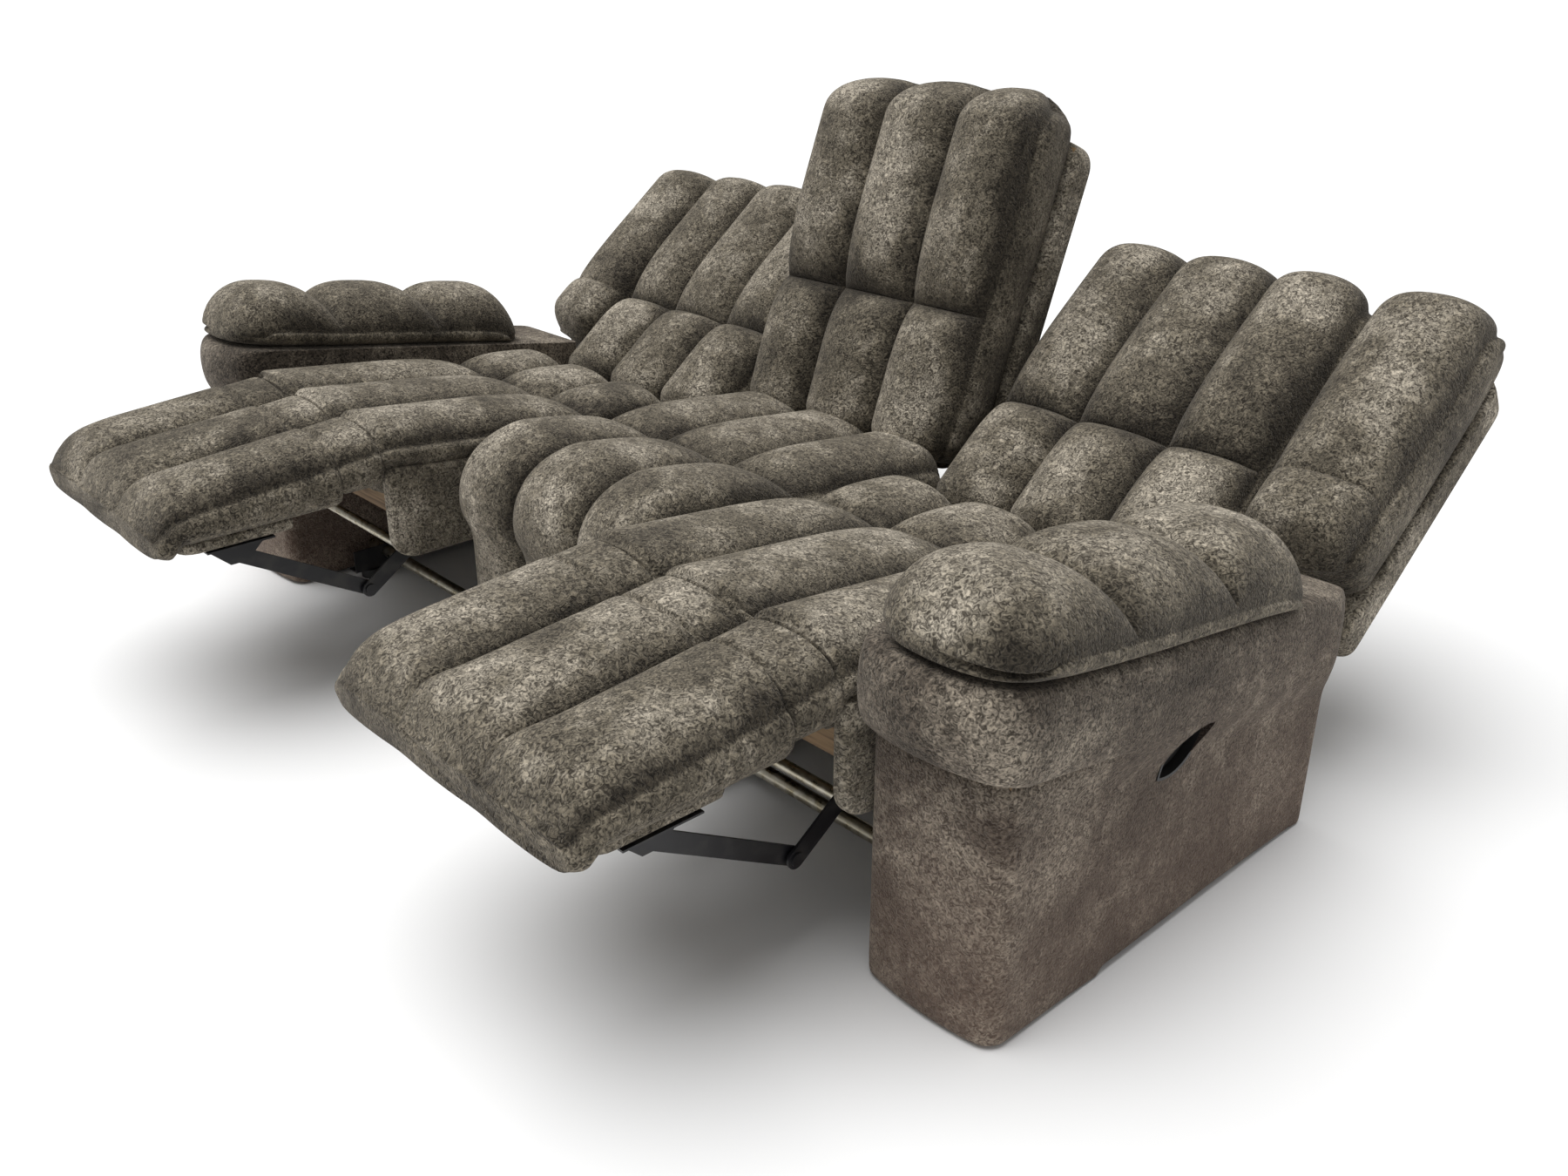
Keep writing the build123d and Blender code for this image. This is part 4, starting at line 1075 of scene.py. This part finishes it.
    def back(self) -> None:
        """Back cushion in three channels, the wing channel over the arm, and the wrapped outer back."""
        form = BackForm(foot=(ARM_FRONT + self.back_foot[0], self.back_foot[1]),
                        slope=math.radians(self.back_slope))
        body = self.named("back")
        inner, outer = CENTRE_HALF + BACK_GAP, ARM_INNER + self.wing_reach
        left = inner + BACK_CLEAR
        main_pad = form.pad(even((left + ARM_INNER) / 2, (ARM_INNER - left) / 2, CHANNELS), form.bottom,
                            BACK_CROWN, row_dip=0.9)
        self.cushion("back_pillow", main_pad, BACK_PUFF, form.held, body, [self.named("back_cushion")],
                     fill=0.85)
        wing = form.pad((ARM_INNER - self.wing_lap, outer), form.wing_bottom, self.wing_crown, row_dip=0.3)
        self.cushion("wing_pillow", wing, 0.012, form.held, body, [], fill=0.85)
        notch = ARM_INNER - self.notch
        outline = rounded_outline([(inner, form.panel_bottom), (notch, form.panel_bottom),
                                   (notch, form.panel_wing_bottom), (outer, form.panel_wing_bottom),
                                   (outer, form.panel_top), (inner, form.panel_top)],
                                  [0.015, 0.015, 0.01, 0.02, 0.045, 0.045])
        board = PaddedBoard(outline, 0.0, self.outer_back_thick, form.panel_crown, form.panel_edge)
        piece = self.make("outer_back", board.rings(form.place))
        self.dress(piece, body, [self.named("back_panel")], fill=0.9)

    def build(self) -> None:
        """Builds every piece of this seat."""
        self.seat()
        self.footrest()
        self.panels()
        self.back()


@dataclass
class Arm(Upholstery):
    """One arm, drawn on the right: padded sleeve with its roll, the latch's opening, and its pillow top.

    Sizes named leaf are the latch opening's and pad the pillow top's. The leaf's tilt is in degrees.
    """

    # A darker copy of the cushions' plush, as painted shade on the arm's front and sides
    sleeve: Optional[bpy.types.Material] = None
    depth: float = 0.784
    slope: float = 0.15
    wall_low: float = 0.05
    wall_high: float = 0.385
    wall_points: int = 26
    roll_points: int = 17
    roll_power: float = 0.55
    roll_middle: float = 0.468
    roll_half: float = 0.064
    roll_top: float = 0.532
    roll_side: float = 0.026
    roll_front: float = 0.030
    roll_front_dome: float = 0.028
    dome_power: float = 0.7
    front_bow: float = 0.012
    crease_from: float = 0.03
    crease_length: float = 0.20
    flare_low: float = 0.325
    flare_height: float = 0.115
    corner_radii: tuple[float, float, float, float] = (0.020, 0.027, 0.012, 0.012)
    front_zone: float = 0.04
    rear_zone: float = 0.05
    side_from: float = 0.85
    side_ramp: float = 0.15
    side_turn_in: float = 0.6
    front_turn_in: float = 0.4
    turned_in: tuple[float, float] = (0.5, 0.2)
    leaf_half: float = 0.0565
    leaf_wide: float = 0.0255
    leaf_tilt: float = 29.0
    leaf_place: tuple[float, float] = (0.366, 0.309)
    leaf_cut: tuple[float, float] = (-0.042, 0.03)
    sharp_angle: float = 50.0
    pad_rows: tuple[float, float] = (-0.046, 0.650)
    pad_overhang: float = 0.032
    pad_thick: float = 0.032
    pad_held: float = 0.012
    pad_clear: float = 0.001

    def profile(self) -> tuple[np.ndarray, np.ndarray, np.ndarray]:
        """The sleeve's profile from the floor up: hem, wall, crease, half round of the roll, turned-in top.

        Returns:
            Heights, how far the roll stands out there, and how far the sleeve is tucked in, as columns.
        """
        wall = np.linspace(self.wall_low, self.wall_high, self.wall_points)
        turn = np.linspace(0, math.pi, self.roll_points)
        top = self.roll_top + 0.002
        hem = ([0.004, 0.004, 0.012], [0.0, 0.0, 0.0], [0.03, 0.004, 0.0])
        crease = ([0.396, 0.403], [0.0, 0.0], [0.006, 0.013])
        roll = (self.roll_middle - self.roll_half * np.cos(turn), np.sin(turn) ** self.roll_power, 0 * turn)
        closing = ([top, top], [-0.3, -0.8], [0.01, 0.02])
        columns = zip(hem, (wall, 0 * wall, 0 * wall), crease, roll, closing)
        height, out, tuck = [np.concatenate(column)[:, None] for column in columns]
        return height, out, tuck

    def cover(self) -> None:
        """Arm sleeve: the plan outline carried up a profile that bulges into the roll above its crease.

        The roll stands out fully at the front, less on the outer side and not at all inside and behind. Its
        crease runs round the front corner and then eases into a flare of the outer side. The higher a point
        lies, up to the wall's top, the more it falls with the arm's slope to the rear.
        """
        outline = rounded_outline([(ARM_INNER, 0.0), (ARM_OUTER, 0.0), (ARM_OUTER, self.depth),
                                   (ARM_INNER, self.depth)], self.corner_radii, step=0.010)
        x, y = outline[None, :, 0], outline[None, :, 1]
        z, roll, tuck = self.profile()
        across = np.clip((x - ARM_INNER) / (ARM_OUTER - ARM_INNER), 0, 1)
        domed = np.clip(1 - (2 * across - 1) ** 2, 0, 1)
        front = np.clip(1 - y / self.front_zone, 0, 1)
        before_rear = np.clip((self.depth - y) / self.rear_zone, 0, 1) ** 0.5
        side = np.clip((across - self.side_from) / self.side_ramp, 0, 1) * before_rear
        side_roll = roll.clip(-self.side_turn_in, 1)
        creased = side_roll * self.roll_side - tuck
        flare = np.where(z < self.roll_middle, eased((z - self.flare_low) / self.flare_height), side_roll)
        ease = np.clip((y - self.crease_from) / self.crease_length, 0, 1)
        sleeve_x = x + side * (creased + (flare * self.roll_side - creased) * ease)
        front_reach = self.roll_front + self.roll_front_dome * domed ** self.dome_power
        front_roll = roll.clip(-self.front_turn_in, 1) * front_reach
        sleeve_y = y - front * (self.front_bow * domed - tuck + front_roll)
        inward = (-roll).clip(0, 1)
        sleeve_x = sleeve_x + ((ARM_INNER + ARM_OUTER) / 2 - sleeve_x) * self.turned_in[0] * inward
        sleeve_y = sleeve_y + (self.depth / 2 - sleeve_y) * self.turned_in[1] * inward
        raised = np.clip((z - self.wall_low) / (self.wall_high - self.wall_low), 0, 1)
        rings = np.stack([sleeve_x, ARM_FRONT + sleeve_y, z - self.slope * sleeve_y * raised], axis=-1)
        piece = self.make("arm_sleeve", rings)
        self.cut_latch(piece)
        self.dress(piece, "base", [self.named("arm_cover")], fill=0.8, smooth=0, fabric=self.sleeve)

    def cut_latch(self, piece: bpy.types.Object) -> None:
        """Cuts the latch's opening into the sleeve's outer side: a tilted leaf between two arcs.

        Args:
            piece: the sleeve, which is smoothed here first and keeps the opening in its mesh.
        """
        tilt = math.radians(self.leaf_tilt)
        radius = (self.leaf_half ** 2 + self.leaf_wide ** 2) / (2 * self.leaf_wide)
        turn = np.linspace(-1, 1, 24) * math.asin(self.leaf_half / radius)
        arc = np.stack([radius * np.sin(turn), radius * np.cos(turn) - radius + self.leaf_wide], axis=1)
        leaf = np.concatenate([arc[:-1], -arc[:-1]])
        turned = leaf @ np.array([[math.cos(tilt), math.sin(tilt)], [-math.sin(tilt), math.cos(tilt)]])
        flat = np.broadcast_to(turned + self.leaf_place, (2, *leaf.shape))
        deep = np.broadcast_to(ARM_OUTER + np.array(self.leaf_cut)[:, None], (2, len(leaf)))
        cutter = closed_mesh("latch_cutter", side_place(flat, deep), self.side is Side.LEFT)
        smooth = piece.modifiers.new("smooth", "SUBSURF")
        smooth.levels = 1
        smooth.render_levels = 1
        cut = piece.modifiers.new("latch", "BOOLEAN")
        cut.operation = "DIFFERENCE"
        cut.object = cutter
        bpy.context.view_layer.update()
        mesh = bpy.data.meshes.new_from_object(piece.evaluated_get(bpy.context.evaluated_depsgraph_get()))
        piece.modifiers.clear()
        piece.data = mesh
        mesh.set_sharp_from_angle(angle=math.radians(self.sharp_angle))
        bpy.data.objects.remove(cutter)

    def top(self, back: np.ndarray) -> np.ndarray:
        """Height of the roll's top: a straight line falling to the rear."""
        return self.roll_top - self.slope * back + self.pad_clear

    def pad(self) -> None:
        """Pillow top: three cross channels along the arm, each a loaf that overhangs the roll."""
        pad = ChannelledPad(seams=(ARM_INNER + self.pad_clear, ARM_OUTER + self.pad_overhang),
                            rows=list(np.linspace(*self.pad_rows, CHANNELS + 1)), line=standing_on(self.top),
                            height=lambda back: np.full_like(back, self.pad_thick), crown=0.090, dip=0.002,
                            inset=0.022, lip=0.012, noses=(0.12, 0.09), lobes=(0.07, 0.05), edge=0.006,
                            row_dip=0.75, nose_middle=0.35)
        self.cushion("arm_pillow", pad, cap=0.014,
                     held=lambda places: held_under(
                         places, self.top(places[:, 1] - ARM_FRONT) + self.pad_held),
                     body="base", nodes=[self.named("arm_pad")], fill=0.8)

    def build(self) -> None:
        """Builds every piece of this arm."""
        self.cover()
        self.pad()


@dataclass
class CentreSeat(Upholstery):
    """The fixed centre seat with its apron, its back and the flatter panel behind it."""

    front: float = 0.172
    nose: float = 0.012
    turn_length: float = 0.05
    apron_top: float = 0.335
    apron_bottom: float = 0.118
    apron_thick: float = 0.046
    apron_held: float = 0.30
    seat_thick: float = 0.108
    swell_start: float = 0.12
    swell_length: float = 0.17
    seat_rear: float = 0.842
    back_foot: tuple[float, float] = (1.012, 0.405)
    back_slope: float = 69.0
    back_drop: float = 0.025
    outer_back_thick: float = 0.060

    def line(self, along: np.ndarray) -> tuple[np.ndarray, np.ndarray]:
        """Line up the apron, round the front edge by a quarter circle and along the deck.

        Args:
            along: distance behind the arm fronts on the deck; less than the front edge runs down the apron.

        Returns:
            Places in side view and the outward directions there.
        """
        corner = self.front + self.nose
        high = float(deck(np.array(corner))) - self.nose
        quarter = self.nose * math.pi / 2 + self.turn_length
        turn = np.clip((corner - along) / quarter, 0, 1) * math.pi / 2
        drop = np.clip(corner - quarter - along, 0, None)
        y = np.where(along >= corner, along, corner - (self.nose + DECK_CLEAR) * np.sin(turn))
        z = np.where(along >= corner, deck(along), high + self.nose * np.cos(turn) - drop)
        up = np.stack([-np.sin(turn), np.cos(turn)], axis=1)
        return np.stack([ARM_FRONT + y, z + DECK_CLEAR], axis=1), up

    def height(self, along: np.ndarray) -> np.ndarray:
        """Pad thickness: full on the deck, easing to thin on the apron."""
        share = eased((along - (self.front - self.swell_start)) / self.swell_length)
        return self.apron_thick + (self.seat_thick - self.apron_thick) * share

    def build(self) -> None:
        """Builds the centre seat's pieces."""
        half = CENTRE_HALF - BACK_GAP
        start = (self.front + self.nose - self.turn_length - self.nose * math.pi / 2
                 - (self.apron_top - self.apron_bottom))
        pad = ChannelledPad(seams=even(0.0, half, CHANNELS), rows=(start, SEAT_SEAM, self.seat_rear),
                            line=self.line, height=self.height, crown=0.040, dip=0.012, inset=0.018,
                            lip=0.030, noses=(0.03, 0.06), lobes=(0.0, 0.02), row_dip=0.9,
                            flats=(NOSE_FLAT, 0.5))
        self.cushion("centre_seat_pillow", pad, cap=0.008,
                     held=lambda places: held_under(places, self.apron_held),
                     body="base", nodes=["centre_seat_cushion"], fill=0.8)
        form = BackForm(foot=(ARM_FRONT + self.back_foot[0], self.back_foot[1]),
                        slope=math.radians(self.back_slope))
        back = form.pad(even(0.0, half - BACK_CLEAR, CHANNELS), form.bottom - self.back_drop,
                        BACK_CROWN, row_dip=0.9)
        self.cushion("centre_back_pillow", back, BACK_PUFF, form.held, "base", ["centre_back_cushion"],
                     fill=0.85)
        outline = rounded_outline([(-half, form.panel_bottom), (half, form.panel_bottom),
                                   (half, form.panel_top), (-half, form.panel_top)],
                                  [0.015, 0.015, 0.045, 0.045])
        board = PaddedBoard(outline, 0.0, self.outer_back_thick, form.panel_crown, form.panel_edge)
        piece = self.make("centre_outer_back", board.rings(form.place))
        self.dress(piece, "base", ["centre_back_panel"], fill=0.9)


class Hardware:
    """Finishes of the frame's rigid nodes."""

    def __init__(self) -> None:
        """Builds the finishes once."""
        self.finishes = {"black_steel": PaintedSteel().build(), "bright_steel": ZincPlate().build(),
                         "timber": RawPlywood().build(), "black_plastic": MouldedPlastic().build()}

    def dress(self) -> None:
        """Gives every rigid node the finish of its slot."""
        slots = {part["node"]: part["material_slot"] for part in FRAME["record"]["subparts"]}
        for name, node in FRAME["nodes"].items():
            finish = self.finishes.get(slots.get(name, ""))
            if finish is not None:
                node.data.materials.clear()
                node.data.materials.append(finish)


@dataclass(frozen=True)
class Studio:
    """Pale floor, soft light and the camera, whose focal length is in pixels of a picture's width."""

    floor_half: float = 90.0
    floor_dark: str = "eeeeee"
    floor_light: str = "f2f2f2"
    floor_cloud: float = 0.6
    surround: float = 0.38
    sun_energy: float = 3.2
    sun_angle: float = 60.0
    sun_tilt: float = 12.0
    sensor: float = 36.0
    focal_pixels: float = 1592
    picture_width: float = 1800
    camera_place: tuple[float, float, float] = (1.913, -1.111, 1.273)
    camera_pitch: float = 24.52
    camera_yaw: float = 47.19

    def floor(self) -> None:
        """A wide pale floor with a faint cloud in its matt paint."""
        far = self.floor_half
        mesh = bpy.data.meshes.new("floor")
        corners = [(-far, -far, 0), (far, -far, 0), (far, far, 0), (-far, far, 0)]
        mesh.from_pydata(corners, [], [(0, 1, 2, 3)])
        floor = bpy.data.objects.new("floor", mesh)
        bpy.context.scene.collection.objects.link(floor)
        material, tree, shader, place = new_material("pale_matt_floor_paint")
        cloud = add_node(tree, "ShaderNodeTexNoise", {"Scale": self.floor_cloud, "Detail": 2.0},
                         {"Vector": place})
        colour = add_node(tree, "ShaderNodeValToRGB",
                          {"stops": ((0.3, linear(self.floor_dark)), (0.7, linear(self.floor_light)))},
                          {"Fac": cloud.outputs["Fac"]})
        set_node(tree, shader, {"Roughness": 0.9}, {"Base Color": colour.outputs["Color"]})
        mesh.materials.append(material)

    def light(self) -> None:
        """An even surround and one very wide soft light from above, a little from the front left."""
        scene = bpy.context.scene
        scene.view_settings.view_transform = "Standard"
        scene.world = bpy.data.worlds.new("studio")
        scene.world.use_nodes = True
        tree = scene.world.node_tree
        set_node(tree, tree.nodes["Background"], {"Color": linear("ffffff"), "Strength": self.surround}, {})
        lamp = bpy.data.lights.new("overhead", "SUN")
        lamp.energy = self.sun_energy
        lamp.angle = math.radians(self.sun_angle)
        overhead = bpy.data.objects.new("overhead", lamp)
        scene.collection.objects.link(overhead)
        overhead.location = (0, 0, 4)
        overhead.rotation_euler = (math.radians(self.sun_tilt), math.radians(-self.sun_tilt), 0)

    def camera(self) -> None:
        """The camera at the sofa's front right, at the angle worked out from the photograph's own lines."""
        lens = bpy.data.cameras.new("camera")
        lens.sensor_width = self.sensor
        lens.lens = self.focal_pixels / self.picture_width * self.sensor
        camera = bpy.data.objects.new("camera", lens)
        bpy.context.scene.collection.objects.link(camera)
        x, y, z = self.camera_place
        camera.location = (x, y + ARM_FRONT, z)
        camera.rotation_euler = (math.radians(90 - self.camera_pitch), 0, math.radians(self.camera_yaw))
        bpy.context.scene.camera = camera

    def build(self) -> None:
        """Builds the studio."""
        self.floor()
        self.light()
        self.camera()


def main() -> None:
    """Builds the sofa's pieces in order and reports them."""
    logging.basicConfig(level=logging.INFO, format="%(name)s %(message)s")
    Studio().build()
    Hardware().dress()
    plush = CrushedPlush().build()
    # The same plush made darker, as painted shade on the arms' fronts and sides, and browner towards the
    # floor
    sleeve = CrushedPlush(name="crushed_chenille_plush_shaded_sleeve", light="887f72", middle="564e45",
                          dark="2b2621", warmth=0.3).build()
    for side in Side:
        Recliner(plush, side).build()
        Arm(plush, side, sleeve).build()
    CentreSeat(plush).build()


if __name__ == "__main__":
    main()
